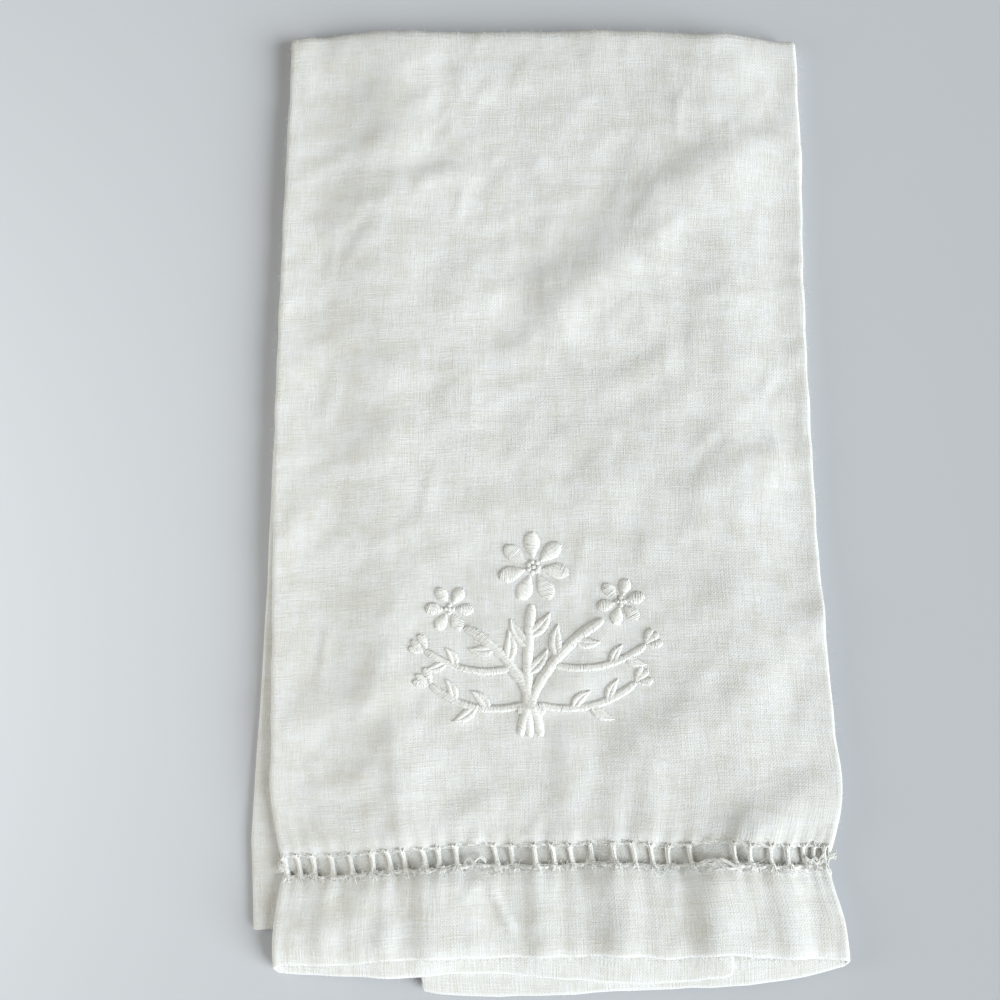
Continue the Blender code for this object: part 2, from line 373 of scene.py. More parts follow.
CRUMPLES = (
    Crumple(46, (18, 50), (7, 13), (-0.27, 0.53)),
    Crumple(200, (8, 24), (2.6, 5.0), (-0.22, 0.51)),
    Crumple(620, (4, 14), (1.0, 2.3), (-0.14, 0.32)),
)
SLANTS = np.radians([0, 90, 38, 52])
SLANT_SPREAD = math.radians(13)
GENTLE_SIDE = 1.4
CRUMPLE_BOX = np.array([[-78, -134], [78, 134]])


def random_creases():
    """Draws every crease's middle, slant, length, widths and height, one family after another."""
    draw = np.random.default_rng(11)
    creases = []
    for family in CRUMPLES:
        middle = draw.uniform(*CRUMPLE_BOX, (family.count, 2))
        slant = draw.choice(SLANTS, family.count) + draw.normal(0, SLANT_SPREAD, family.count)
        reach = draw.uniform(*family.lengths, family.count) / 2
        run = np.stack([np.cos(slant), np.sin(slant)], axis=-1) * reach[:, None]
        widths = draw.uniform(*family.widths, family.count)
        heights = draw.uniform(*family.heights, family.count)
        rows = np.column_stack([middle - run, middle + run, heights, widths, widths * GENTLE_SIDE])
        creases += [Crease(*row) for row in rows]
    return creases


RANDOM_CREASES = random_creases()


def crumple_height(x, y):
    """All random creases, added up."""
    return sum(soft_ridge(x, y, crease) for crease in RANDOM_CREASES)


sample = crumple_height(*np.meshgrid(np.linspace(-70, 70, 40) * MM, np.linspace(-120, 120, 60) * MM))
print(f"{len(RANDOM_CREASES)} random creases, {sample.min() / MM:.2f} to {sample.max() / MM:.2f} mm high")

# %% [markdown]
# ## From the flat cloth to the folded towel
#
# Across the cloth, the left panel turns through a half circle into the front, and the front through another
# into the right panel. A layer's height above the middle plane counts the layers under it. The crosswise
# fold then turns each layer about the fold's axis with that height as its radius. The creases lift the front
# fully and the two panels under it a little less, and the back half keeps only a faint print of the crumple.
# The hems that reach past the back half sink towards the table. Behind the openwork, where the left panel
# has ended, the right panel rises by one layer, so that cloth shows through the gaps.

# %% The fold
SINGLE_CLOTH = 0.6 * MM
HEM_CLOTH = 1.0 * MM
LEFT_PANEL_LIFT = 0.85
RIGHT_PANEL_LIFT = 0.82
BACK_LIFT = 0.12
CALM_LENGTH = 18 * MM
SINK_START = 0.5 * MM
SINK_LENGTH = 17 * MM
SINK_SHARE = 0.75
BACK_HEM = 6 * MM
BACK_HEM_STEP = 0.5 * MM
SELVEDGE_REACH = 5 * MM
EDGE_WAVER = 0.16 * MM
HEM_DROOP = 0.42 * MM
DROOP_LENGTH = 3.5 * MM
BAND_DROOP = 0.68 * MM
BEHIND_BAND = (-116 * MM, -106 * MM, -92 * MM, -80 * MM)


def side(along, name):
    """Where a side fold runs: the table's curve, with the small waver of a fold made by hand."""
    place = through_rows(along, [row.along for row in SIDES], [getattr(row, name) for row in SIDES])
    phase = 1.3 if name == "left" else 4.1
    waver = np.sin(along / (2.9 * MM) + phase) * np.sin(along / (9.7 * MM) + 2 * phase)
    return place + EDGE_WAVER * waver


def end(x, name):
    """Where a layer ends, or the crosswise fold's axis lies: the table's curve with a finer waver."""
    place = through_rows(x, [row.x for row in ENDS], [getattr(row, name) for row in ENDS])
    phase = len(name)
    return place + EDGE_WAVER * np.sin(x / (2.3 * MM) + phase) * np.sin(x / (7.9 * MM) + 2 * phase)


def fold(across, along):
    """Carries points of the flat cloth to their places in the folded towel."""
    left_turn = np.clip((across - LEFT_PANEL) / FOLD_LENGTH, 0, 1) * math.pi
    right_turn = np.clip((across - FRONT_START - FRONT_PANEL) / FOLD_LENGTH, 0, 1) * math.pi
    share = np.clip((across - FRONT_START) / FRONT_PANEL, 0, 1)
    left_inside = side(along, "left") + FOLD_RADIUS
    right_inside = side(along, "right") - FOLD_RADIUS
    x = left_inside + share * (right_inside - left_inside)
    x += np.maximum(LEFT_PANEL - across, 0) - FOLD_RADIUS * np.sin(left_turn)
    x -= np.maximum(across - RIGHT_START, 0) - FOLD_RADIUS * np.sin(right_turn)

    in_left_panel = (1 + np.cos(left_turn)) / 2
    in_right_panel = (1 - np.cos(right_turn)) / 2
    in_front = 1 - in_left_panel - in_right_panel
    left_rise = smooth_step(x, *LEFT_SLOPE)
    both_panels = left_rise * (1 - smooth_step(x, *RIGHT_SLOPE))
    middle_plane = LAYER_PITCH * (2 + both_panels)
    height = LAYER_PITCH * (0.5 + in_front * (1 + both_panels) + in_left_panel * left_rise)

    turn = np.clip((along - FRONT_LENGTH) / TURN_LENGTH, 0, 1) * math.pi
    up_front = np.clip(along / FRONT_LENGTH, 0, 1)
    down_back = np.clip((along - FRONT_LENGTH - TURN_LENGTH) / BACK_LENGTH, 0, 1)
    hem = in_front * end(x, "front") + in_left_panel * end(x, "left_panel")
    hem = hem + in_right_panel * end(x, "right_panel")
    axis = end(x, "fold")
    flat_y = hem + up_front * (axis - hem) + down_back * (end(x, "back") - axis)

    lift_share = in_front + in_left_panel * LEFT_PANEL_LIFT + in_right_panel * RIGHT_PANEL_LIFT
    calm = 1 - smooth_step(along, FRONT_LENGTH - CALM_LENGTH, FRONT_LENGTH)
    facing_up = (1 + np.cos(turn)) / 2
    behind_band = smooth_step(flat_y, *BEHIND_BAND[:2]) * (1 - smooth_step(flat_y, *BEHIND_BAND[2:]))
    past_left_panel = both_panels * smooth_step(x, RIGHT_SLOPE[0], RIGHT_SLOPE[0] + SELVEDGE_REACH)
    height = height + LAYER_PITCH * past_left_panel * behind_band * in_right_panel * facing_up
    crumple = crumple_height(x, flat_y) * lift_share
    lift = crease_height(x, flat_y) * lift_share * calm
    lift = lift + np.maximum(crumple, 0) * BACK_LIFT * (1 - facing_up)
    height = height + crumple * facing_up
    past_back = end(x, "back") - flat_y - SINK_START
    sink = middle_plane * SINK_SHARE * smooth_step(past_back, 0, SINK_LENGTH) * (down_back == 0)
    back_hem = CLOTH_LENGTH - BACK_HEM
    in_back_hem = smooth_step(along, back_hem - BACK_HEM_STEP, back_hem)
    rest = in_back_hem * (HEM_CLOTH - SINGLE_CLOTH) / 2 - (LAYER_PITCH - SINGLE_CLOTH) / 2
    past_hem = smooth_step(along, HEM - DROOP_LENGTH, HEM)
    beside_band = past_hem * (1 - smooth_step(along, HEM + BAND, HEM + BAND + DROOP_LENGTH))
    at_edge = 1 - smooth_step(along, 0, DROOP_LENGTH)
    droop = HEM_DROOP * at_edge + BAND_DROOP * beside_band * in_front
    y = flat_y + height * np.sin(turn)
    z = middle_plane + height * np.cos(turn) + lift - sink - droop + rest
    return np.stack([x + SHIFT_X, y + SHIFT_Y, z], axis=-1)


def on_cloth(across, along, above):
    """Points above the cloth's middle: the folded place plus above times the cloth's own normal there."""
    step = 0.05 * MM
    place = fold(across, along)
    normal = np.cross(fold(across + step, along) - place, fold(across, along + step) - place)
    normal /= np.linalg.norm(normal, axis=-1, keepdims=True)
    return place + normal * np.asarray(above)[..., None]


corners = fold(np.array([FRONT_START, FRONT_START + FRONT_PANEL]), np.array([0.0, 0.0]))
print("the front hem's corners in mm:", np.round(corners / MM, 1).tolist())

# %% [markdown]
# ## A mesh from arrays
#
# Every piece below is one or many grids of points. This helper joins the grids into one mesh: it numbers the
# points as an array, takes each cell's four corners by slicing, and can close a grid round on itself and cap
# its ends. The same slices of a second array give each corner its place on the UV map.

# %% Grids to meshes, and a tube carried along a path
def add_piece(name, points, faces, material, uv=None):
    """Puts arrays of points and faces, and a UV place for each face corner, into a smooth mesh."""
    mesh = bpy.data.meshes.new(name)
    mesh.from_pydata(points.reshape(-1, 3).tolist(), [], faces)
    if uv is not None:
        mesh.uv_layers.new(name="cloth").data.foreach_set("uv", uv.ravel())
    mesh.materials.append(material)
    mesh.shade_smooth()
    piece = bpy.data.objects.new(name, mesh)
    bpy.context.scene.collection.objects.link(piece)
    print(f"{name}: {sum(len(face) - 2 for face in faces)} triangles")
    return piece


def cells(grid):
    """The four corners of every cell of an array whose second and third axes are the grid's."""
    corners = [grid[:, :-1, :-1], grid[:, :-1, 1:], grid[:, 1:, 1:], grid[:, 1:, :-1]]
    return np.stack(corners, axis=3).reshape(-1, 4, *grid.shape[3:])


def tubes(name, paths, radius, sides, material):
    """A thin tube along every path: each point plus radius times (cosine a, sine a) in the plane across it.

    The paths are an array of shape (paths, points, 3). The UV map holds the share of the way round and the
    length along the path in mm.
    """
    count, steps = paths.shape[:2]
    tangent = np.gradient(paths, axis=1)
    tangent /= np.linalg.norm(tangent, axis=-1, keepdims=True)
    level = np.cross(tangent, (0, 0, 1)) + (1e-6, 0, 0)
    level /= np.linalg.norm(level, axis=-1, keepdims=True)
    upward = np.cross(level, tangent)
    angle = np.arange(sides) * 2 * math.pi / sides
    ring = np.cos(angle)[:, None] * level[:, :, None] + np.sin(angle)[:, None] * upward[:, :, None]
    radius = np.broadcast_to(radius, (count, steps))
    points = paths[:, :, None] + ring * radius[:, :, None, None]
    number = np.arange(points.size // 3).reshape(count, steps, sides)
    number = np.concatenate([number, number[:, :, :1]], axis=2)
    faces = cells(number)[:, ::-1].tolist()
    faces += number[:, 0, :sides].tolist() + number[:, -1, sides - 1 :: -1].tolist()
    length = np.linalg.norm(np.diff(paths, axis=1), axis=-1).cumsum(axis=1)
    length = np.concatenate([np.zeros((count, 1)), length], axis=1) / MM
    place = np.empty((count, steps, sides + 1, 2))
    place[..., 0] = np.arange(sides + 1) / sides
    place[..., 1] = length[:, :, None]
    uv = [cells(place)[:, ::-1], place[:, 0, :sides], place[:, -1, :sides]]
    uv = np.concatenate([part.reshape(-1, 2) for part in uv])
    return add_piece(name, points, faces, material, uv)


# %% [markdown]
# ## Sums on sockets
#
# A procedural material is arithmetic on textures. Written as nodes it is long, so this small class wraps one
# socket of the node tree and lets Python's own signs add the Math nodes: `1 - mask` works, because the
# reflected forms are there too. Any other node comes from the one method `node`.

# %% A socket that can be written in sums
class Wire:
    """One output socket of a material's node tree."""

    def __init__(self, tree, socket=None):
        self.tree = tree
        self.socket = socket

    def node(self, kind, settings=None, sockets=None, output=0):
        """Adds a node of a kind: its settings first, then a value or a wire for each socket."""
        node = self.tree.nodes.new(kind)
        for name, value in (settings or {}).items():
            setattr(node, name, value)
        for key, value in (sockets or {}).items():
            if isinstance(value, Wire):
                self.tree.links.new(value.socket, node.inputs[key])
            else:
                node.inputs[key].default_value = value
        return Wire(self.tree, node.outputs[output])

    def parts(self):
        """The X and the Y of this vector, each as a wire."""
        separate = self.node("ShaderNodeSeparateXYZ", {}, {0: self}).socket.node
        return Wire(self.tree, separate.outputs[0]), Wire(self.tree, separate.outputs[1])

    def math(self, operation, first, second=0.0):
        """One Math node with two numbers or wires."""
        return self.node("ShaderNodeMath", {"operation": operation}, {0: first, 1: second})

    def __add__(self, other):
        return self.math("ADD", self, other)

    def __sub__(self, other):
        return self.math("SUBTRACT", self, other)

    def __rsub__(self, other):
        return self.math("SUBTRACT", other, self)

    def __mul__(self, other):
        return self.math("MULTIPLY", self, other)

    __radd__ = __add__
    __rmul__ = __mul__

    def ramp(self, low, high):
        """0 below low, 1 above high and smooth between."""
        sockets = {"Value": self, "From Min": low, "From Max": high}
        return self.node("ShaderNodeMapRange", {"interpolation_type": "SMOOTHSTEP"}, sockets)

    def stretched(self, scale):
        """This vector with each part multiplied by its own number."""
        return self.node("ShaderNodeVectorMath", {"operation": "MULTIPLY"}, {0: self, 1: scale})

    def noise(self, detail=2.0):
        """Cloudy noise, from 0 to 1, at this place."""
        sockets = {"Vector": self, "Scale": 1.0, "Detail": detail, "Roughness": 0.55}
        return self.node("ShaderNodeTexNoise", {"noise_dimensions": "3D"}, sockets)


def mixed(factor, first, second):
    """One colour where the factor is 0, the other where it is 1."""
    return factor.node("ShaderNodeMix", {"data_type": "RGBA"}, {0: factor, 6: first, 7: second}, output=2)


def cloth_shader(material, sheen, seen_through):
    """The material's own shader with the constants that all white thread shares."""
    material.use_nodes = True
    shader = material.node_tree.nodes["Principled BSDF"]
    shader.inputs["Metallic"].default_value = 0
    shader.inputs["Specular IOR Level"].default_value = 0.25
    shader.inputs["Sheen Weight"].default_value = sheen
    shader.inputs["Sheen Roughness"].default_value = 0.5
    shader.inputs["Subsurface Weight"].default_value = seen_through
    shader.inputs["Subsurface Radius"].default_value = (1.0, 1.0, 0.9)
    shader.inputs["Subsurface Scale"].default_value = 0.8 * MM
    return shader


def connect(shader, colour, roughness, height, depth):
    """Feeds a colour, a roughness and a bump of a given depth in metres to the shader."""
    tree = colour.tree
    bump = colour.node("ShaderNodeBump", {}, {"Height": height, "Strength": 1.0, "Distance": depth})
    tree.links.new(colour.socket, shader.inputs["Base Color"])
    tree.links.new(roughness.socket, shader.inputs["Roughness"])
    tree.links.new(bump.socket, shader.inputs["Normal"])


# %% [markdown]
# ## The linen's finish
#
# Flax spins into an uneven thread, so plain linen shows three things at once: the fine grid of the weave,
# short thick stretches in single threads (slubs) that catch the light as little dashes along and across the
# cloth, and a faint cloudiness where the cloth was pressed more or less. The pattern has to follow the cloth
# round its folds, so it reads the UV map, which holds the flat cloth's own coordinates. Stretching one noise
# far along the threads and hardly across them gives the slubs. In the colour they go halfway to a brighter
# white, partly their own paler tone and partly a painted highlight for the light they catch, and a strip
# about a millimetre wide along the hem's cut edge is a painted highlight in that white.

# %% Linen
THREAD_PITCH = 0.46
# How far from the hem's cut edge the painted highlight reaches, in mm.
EDGE_HIGHLIGHT_WIDTH = 1.3
BUMP_DEPTH = 0.085 * MM
COOL_WHITE = (0.895, 0.925, 0.935, 1)
WARM_WHITE = (0.735, 0.725, 0.668, 1)
# A brighter white: the slubs go halfway to it, partly their own paler tone and partly painted highlight, and
# the painted highlight at the hem's cut edge is all of it.
SLUB_AND_HIGHLIGHT_WHITE = (0.96, 0.975, 0.975, 1)


def streaks(place, across_scale, along_scale, detail=1.0):
    """Noise stretched along one direction, from 0 to 1."""
    return place.stretched((across_scale, along_scale, 1)).noise(detail)


def uneven_threads(short, long):
    """Many short streaks mixed with fewer long ones, which is how one set of threads varies."""
    return short.ramp(0.40, 0.60) * 0.6 + long.ramp(0.38, 0.62) * 0.4


def linen_material():
    """Linen: threads, slubs and clouds in its colour, with a painted highlight at the hem's cut edge, and the
    same threads with the weave as its bump.
    """
    material = bpy.data.materials.new("white linen")
    shader = cloth_shader(material, sheen=0.1, seen_through=0.35)
    start = Wire(material.node_tree)
    uv = start.node("ShaderNodeUVMap", {"uv_map": "cloth"})
    place = uv.stretched((CLOTH_WIDTH / MM, CLOTH_LENGTH / MM, 1))

    crosswise = uneven_threads(streaks(place, 0.22, 2.9, 2.0), streaks(place, 0.06, 2.2))
    lengthwise = uneven_threads(streaks(place, 2.9, 0.22, 2.0), streaks(place, 2.2, 0.06))
    threads = crosswise * 0.5 + lengthwise * 0.5
    slubs = streaks(place, 0.16, 2.8).ramp(0.64, 0.74) + streaks(place, 2.8, 0.2).ramp(0.66, 0.76) * 0.7

    wobble = streaks(place, 1.1, 1.1)
    from_selvedge, from_hem = place.parts()
    across = from_selvedge * (math.pi / THREAD_PITCH) + wobble * 3.0
    along = from_hem * (math.pi / THREAD_PITCH) + wobble * 3.0
    weave = across.math("SINE", across) * along.math("SINE", along)

    cloud = (streaks(place, 0.07, 0.20, 3.0) + streaks(place, 0.24, 0.08, 3.0)) * 0.5
    tone = cloud.ramp(0.38, 0.62) * 0.45 + threads * 0.55
    # The slubs are mixed up to halfway to the brighter white: partly their own paler tone and partly a
    # painted highlight for the light they catch.
    colour = mixed(slubs.math("MINIMUM", slubs, 0.5), mixed(tone, WARM_WHITE, COOL_WHITE), SLUB_AND_HIGHLIGHT_WHITE)
    # Painted highlight: within 1.3 mm of the hem's cut edge the colour fades to the brighter white, standing
    # in for the window light that the edge catches.
    painted_edge_highlight = 1 - from_hem.ramp(0.15, EDGE_HIGHLIGHT_WIDTH)
    colour = mixed(painted_edge_highlight, colour, SLUB_AND_HIGHLIGHT_WHITE)
    roughness = 0.94 - slubs * 0.08
    height = weave * 0.30 + slubs * 0.4 + threads * 1.3
    connect(shader, colour, roughness, height, BUMP_DEPTH)
    return material


LINEN = linen_material()
print("linen threads are", THREAD_PITCH, "mm apart")

# %% [markdown]
# ## The cloth
#
# The cloth is a grid on the flat sheet, finer where it shows: six columns for each gap of the openwork in the
# front, fewer in the panels folded behind. One row of cells is left out, because nothing but thread bundles
# crosses the openwork. The grid is carried through the fold, and the two faces of the cloth are then put
# half its thickness above and below it along its normals. The hems are doubled cloth, so they are thicker,
# and every edge thins out over a little more than half a millimetre, which rounds it.

# %% Rows and columns of the cloth
BAR_LEAN = 1.4 * MM
LEFT_GAPS, FRONT_GAPS, RIGHT_GAPS = 24, 30, 22
PANELS = (
    (0.0, LEFT_PANEL, LEFT_GAPS),
    (FRONT_START, FRONT_PANEL, FRONT_GAPS),
    (RIGHT_START, RIGHT_PANEL, RIGHT_GAPS),
)
COLUMNS_PER_GAP = (2, 6, 1)
FRONT_BARS = (
    (0, 3.4, 7.8, 12.8, 18.3, 23.8, 28.3, 32.7, 37.7, 42.1, 46.5, 51.8, 57.0, 62.0, 67.7, 72.5)
    + (77.4, 82.9, 89.0, 94.0, 98.9, 104.2, 109.6, 115.6, 121.0, 125.5, 131.0, 136.0, 140.6, 144.0, 146.4)
)
EDGE_ROWS = (0, 0.2, 0.6)
FOLD_STEPS = 5
TURN_STEPS = 8
HEM_STEP = 1.35 * MM
FINE_STEP = 1.3 * MM
FRONT_STEP = 1.8 * MM
BACK_STEP = 11 * MM
FINE_END = HEM + BAND + 16 * MM


def cloth_columns():
    """The columns' distances across the flat cloth."""
    columns = []
    for (start, width, gaps), fine in zip(PANELS, COLUMNS_PER_GAP):
        columns.append(start + np.linspace(0, width, gaps * fine + 1))
    turn = np.arange(1, FOLD_STEPS) / FOLD_STEPS * FOLD_LENGTH
    columns += [LEFT_PANEL + turn, FRONT_START + FRONT_PANEL + turn]
    rims = np.array(EDGE_ROWS[1:]) * MM
    return np.sort(np.concatenate(columns + [rims, CLOTH_WIDTH - rims]))


def run_of_rows(start, stop, step, ease_start=True, ease_stop=True):
    """Evenly spaced rows, with two more close to each end that is an edge of the cloth."""
    rows = [np.linspace(start, stop, max(round((stop - start) / step), 1) + 1)]
    rims = np.array(EDGE_ROWS[1:]) * MM
    if ease_start:
        rows.append(start + rims)
    if ease_stop:
        rows.append(stop - rims)
    return np.sort(np.concatenate(rows))


COLUMNS = cloth_columns()
HEM_ROWS = run_of_rows(0, HEM, HEM_STEP)
body_runs = [
    run_of_rows(HEM + BAND, FINE_END, FINE_STEP, ease_stop=False),
    run_of_rows(FINE_END, FRONT_LENGTH, FRONT_STEP, ease_start=False, ease_stop=False),
    np.linspace(FRONT_LENGTH, FRONT_LENGTH + TURN_LENGTH, TURN_STEPS + 1),
    run_of_rows(FRONT_LENGTH + TURN_LENGTH, CLOTH_LENGTH, BACK_STEP, ease_start=False),
]
BODY_ROWS = np.unique(np.concatenate(body_runs).round(7))
print(len(COLUMNS), "columns,", len(HEM_ROWS), "rows in the hem and", len(BODY_ROWS), "above it")

# %% [markdown]
# Where the threads were drawn out, each bundle pulls the cloth's edge a little towards itself and gathers
# it, so the edge runs in small arcs from bundle to bundle. The arcs are a sine of the distance across,
# counted in gaps, and die away within a few millimetres of the openwork. The openwork isn't quite straight
# either: one table raises it in the front, and another lowers it in the left panel, which has slipped.

# %% Arcs and gathers beside the openwork
HEM_ARC = 0.22 * MM
BODY_ARC = 0.16 * MM
ARC_REACH = 1.8 * MM
GATHER = 0.24 * MM
GATHER_REACH = 4.0 * MM
CORNER_ROUND = 1.8 * MM
CORNER_REACH = 10 * MM
EDGE_ROUND = 0.6 * MM
EDGE_SHARE = 0.4
BAND_RISE = ((0, 0.2), (40, 0.4), (52, 1.5), (60, 0.8), (100, 1.1), (147, 1.5))
RISE_REACH = 9 * MM
LEFT_BAND_DROP = ((0, 0.4), (3, 2.4), (14, 2.4), (20, 1.1), (26, 0.1))
LEFT_BAND_DROP += ((30, -0.2), (34, -0.5), (42, 0.2), (117, 0.6))


def in_front_panel(across):
    """Whether distances across the flat cloth lie in the front panel."""
    return (across >= FRONT_START) & (across <= FRONT_START + FRONT_PANEL)


def from_openwork(along):
    """How far points of the cloth lie from the openwork, on either side of it."""
    return np.maximum(np.maximum(HEM - along, along - HEM - BAND), 0)


def gap_share(across):
    """The distance across counted in gaps of its panel, with whole numbers at the bundles."""
    share = np.zeros_like(across)
    for start, width, gaps in PANELS:
        inside = (across >= start) & (across <= start + width)
        share = np.where(inside, (across - start) / width * gaps, share)
    counted = np.interp((across - FRONT_START) / MM, FRONT_BARS, np.arange(len(FRONT_BARS)))
    return np.where(in_front_panel(across), counted, share)


def band_pull(across, along):
    """How far the bundles and the slip of a panel shift the cloth along itself beside the openwork."""
    arc = np.abs(np.sin(math.pi * gap_share(across)))
    below = np.exp(-np.maximum(HEM - along, 0) / ARC_REACH) * (along <= HEM)
    above = np.exp(-np.maximum(along - HEM - BAND, 0) / ARC_REACH) * (along >= HEM + BAND)
    places, rises = zip(*BAND_RISE)
    rise = np.interp((across - FRONT_START) / MM, places, rises) * MM * in_front_panel(across)
    places, drops = zip(*LEFT_BAND_DROP)
    rise -= np.interp((LEFT_PANEL - across) / MM, places, drops) * MM * (across <= LEFT_PANEL)
    return arc * (BODY_ARC * above - HEM_ARC * below) + rise * np.exp(-from_openwork(along) / RISE_REACH)


def gathers(across, along):
    """Small ridges that run into each bundle, highest at the openwork."""
    ridge = np.cos(2 * math.pi * gap_share(across)) * (gap_share(across) > 0)
    return GATHER * ridge * np.exp(-from_openwork(along) / GATHER_REACH)


def corner_lift(across, along):
    """Rounds the two front corners of the cut edge, where the selvedges meet the hem."""
    from_edge = np.minimum(across, CLOTH_WIDTH - across)
    inside = np.clip(CORNER_ROUND - from_edge, 0, CORNER_ROUND)
    rise = CORNER_ROUND - np.sqrt(CORNER_ROUND**2 - inside**2)
    return rise * np.clip(1 - along / CORNER_REACH, 0, 1)


def cloth_middle(rows):
    """The middle surface of the cloth over some rows: a grid of folded points and its flat coordinates."""
    along, across = np.meshgrid(rows, COLUMNS, indexing="ij")
    shifted = along + band_pull(across, along) + corner_lift(across, along)
    return on_cloth(across, shifted, gathers(across, along)), across, along


def round_edge(distance):
    """The share of its full thickness that cloth has at a distance from its edge: a quarter circle."""
    t = np.clip(distance / EDGE_ROUND, 0, 1)
    return EDGE_SHARE + (1 - EDGE_SHARE) * np.sqrt(1 - (1 - t) ** 2)


def shell(middle, thickness):
    """The two faces of a sheet, half its thickness either way from its middle, as one closed ring a row."""
    normal = np.cross(np.gradient(middle, axis=1), np.gradient(middle, axis=0))
    normal /= np.linalg.norm(normal, axis=-1, keepdims=True)
    half = normal * thickness[..., None] / 2
    return np.concatenate([middle + half, (middle - half)[:, ::-1]], axis=1)


def shell_faces(rows, columns, first):
    """The faces of such a ring of faces: cells round the sheet, and a strip to close each end."""
    number = first + np.arange(rows * columns * 2).reshape(1, rows, columns * 2)
    closed = np.concatenate([number, number[:, :, :1]], axis=2)
    upper, lower = number[0, :, :columns], number[0, :, : columns - 1 : -1]
    start = np.stack([upper[0, :-1], lower[0, :-1], lower[0, 1:], upper[0, 1:]], axis=-1)
    stop = np.stack([upper[-1, :-1], upper[-1, 1:], lower[-1, 1:], lower[-1, :-1]], axis=-1)
    return np.concatenate([cells(closed), start, stop])


# %% The cloth itself
def cloth_part(rows, first):
    """The points, faces and UV places of the hem or of the rest of the cloth."""
    middle, across, along = cloth_middle(rows)
    in_hem = (along <= HEM) | (along >= CLOTH_LENGTH - BACK_HEM)
    edges = [across, CLOTH_WIDTH - across, along, CLOTH_LENGTH - along]
    edges += [np.abs(along - HEM), np.abs(along - HEM - BAND)]
    thickness = np.where(in_hem, HEM_CLOTH, SINGLE_CLOTH) * round_edge(np.minimum.reduce(edges))
    points = shell(middle, thickness)
    flat = np.stack([across / CLOTH_WIDTH, along / CLOTH_LENGTH], axis=-1)
    flat = np.concatenate([flat, flat[:, ::-1]], axis=1).reshape(-1, 2)
    return points.reshape(-1, 3), shell_faces(*across.shape, first), flat


hem_points, hem_faces, hem_flat = cloth_part(HEM_ROWS, 0)
body_points, body_faces, body_flat = cloth_part(BODY_ROWS, len(hem_points))
cloth_faces = np.concatenate([hem_faces, body_faces])
cloth_flat = np.concatenate([hem_flat, body_flat])
cloth_points = np.concatenate([hem_points, body_points])
cloth = add_piece("cloth", cloth_points, cloth_faces.tolist(), LINEN, cloth_flat[cloth_faces])

# %% [markdown]
# ## Thread
#
# The bundles, the hemstitching and the embroidery are bare thread. It is whiter and a little glossier than
# the cloth. Two plies twisted round each other show as fine slanting lines, so the bump is a sine of the
# share of the way round plus the length along: a tube's own UV map holds just those two.

# %% Thread material
THREAD_WHITE = (0.96, 0.97, 0.955, 1)
THREAD_CREAM = (0.90, 0.90, 0.86, 1)
TWIST_LENGTH = 0.9
FUZZ_SCALE = (900, 900, 900)
PLY_DEPTH = 0.03 * MM


def thread_material():
    """Bare thread: two twisted plies as its bump, and a little fuzz in its colour."""
    material = bpy.data.materials.new("white thread")
    shader = cloth_shader(material, sheen=0.15, seen_through=0.0)
    start = Wire(material.node_tree)
    uv = start.node("ShaderNodeUVMap", {"uv_map": "cloth"})
    around, along = uv.parts()
    phase = around * (4 * math.pi) + along * (2 * math.pi / TWIST_LENGTH)
    ply = phase.math("SINE", phase)
    place = start.node("ShaderNodeTexCoord", output=3).stretched(FUZZ_SCALE)
    fuzz = place.noise(3.0)
    colour = mixed(fuzz.ramp(0.3, 0.7), THREAD_CREAM, THREAD_WHITE)
    roughness = 0.86 - fuzz * 0.12
    connect(shader, colour, roughness, ply * 0.5 + fuzz * 0.5, PLY_DEPTH)
    return material


THREAD = thread_material()
print("the thread's plies turn once in", TWIST_LENGTH, "mm")

# %% [markdown]
# ## The bundles of the openwork
#
# Each bar of the openwork is a bundle of the cloth's own lengthwise threads, drawn together at the waist by
# the hemstitching and spreading where they enter the cloth. So a bar is made as several threads, not as one
# rod: every thread runs from the hem to the cloth above, and its distance from the bar's middle line grows
# with the third power of the distance from the waist. The bars lean, because the hem has slipped sideways.

# %% Bundles
THREADS_IN_BAR = 6
THREAD_RADIUS = 0.20 * MM
BAR_WAIST = 0.42 * MM
BAR_SPREAD = 0.55 * MM
BAR_ROOT = 0.75 * MM
BAR_POINTS = 11
BAR_JITTER = 0.16
BAR_BOW = 0.18
WAIST_JITTER = 0.25
THREAD_JITTER = 0.07
BAR_CROWN = 0.26 * MM
ROOT_LIFT = 0.3 * MM
FIRST_BAR = 0.7 * MM
BROKEN_BARS = (11, 23)


def bar_places():
    """Each bar's distance across the flat cloth. The front's broken bars are left out."""
    behind = [panel for panel in PANELS if panel[0] != FRONT_START]
    places = [start + width * np.arange(gaps + 1) / gaps for start, width, gaps in behind]
    front = np.delete(np.array(FRONT_BARS), BROKEN_BARS) * MM + FRONT_START
    return np.clip(np.concatenate(places + [front]), FIRST_BAR, CLOTH_WIDTH - FIRST_BAR)


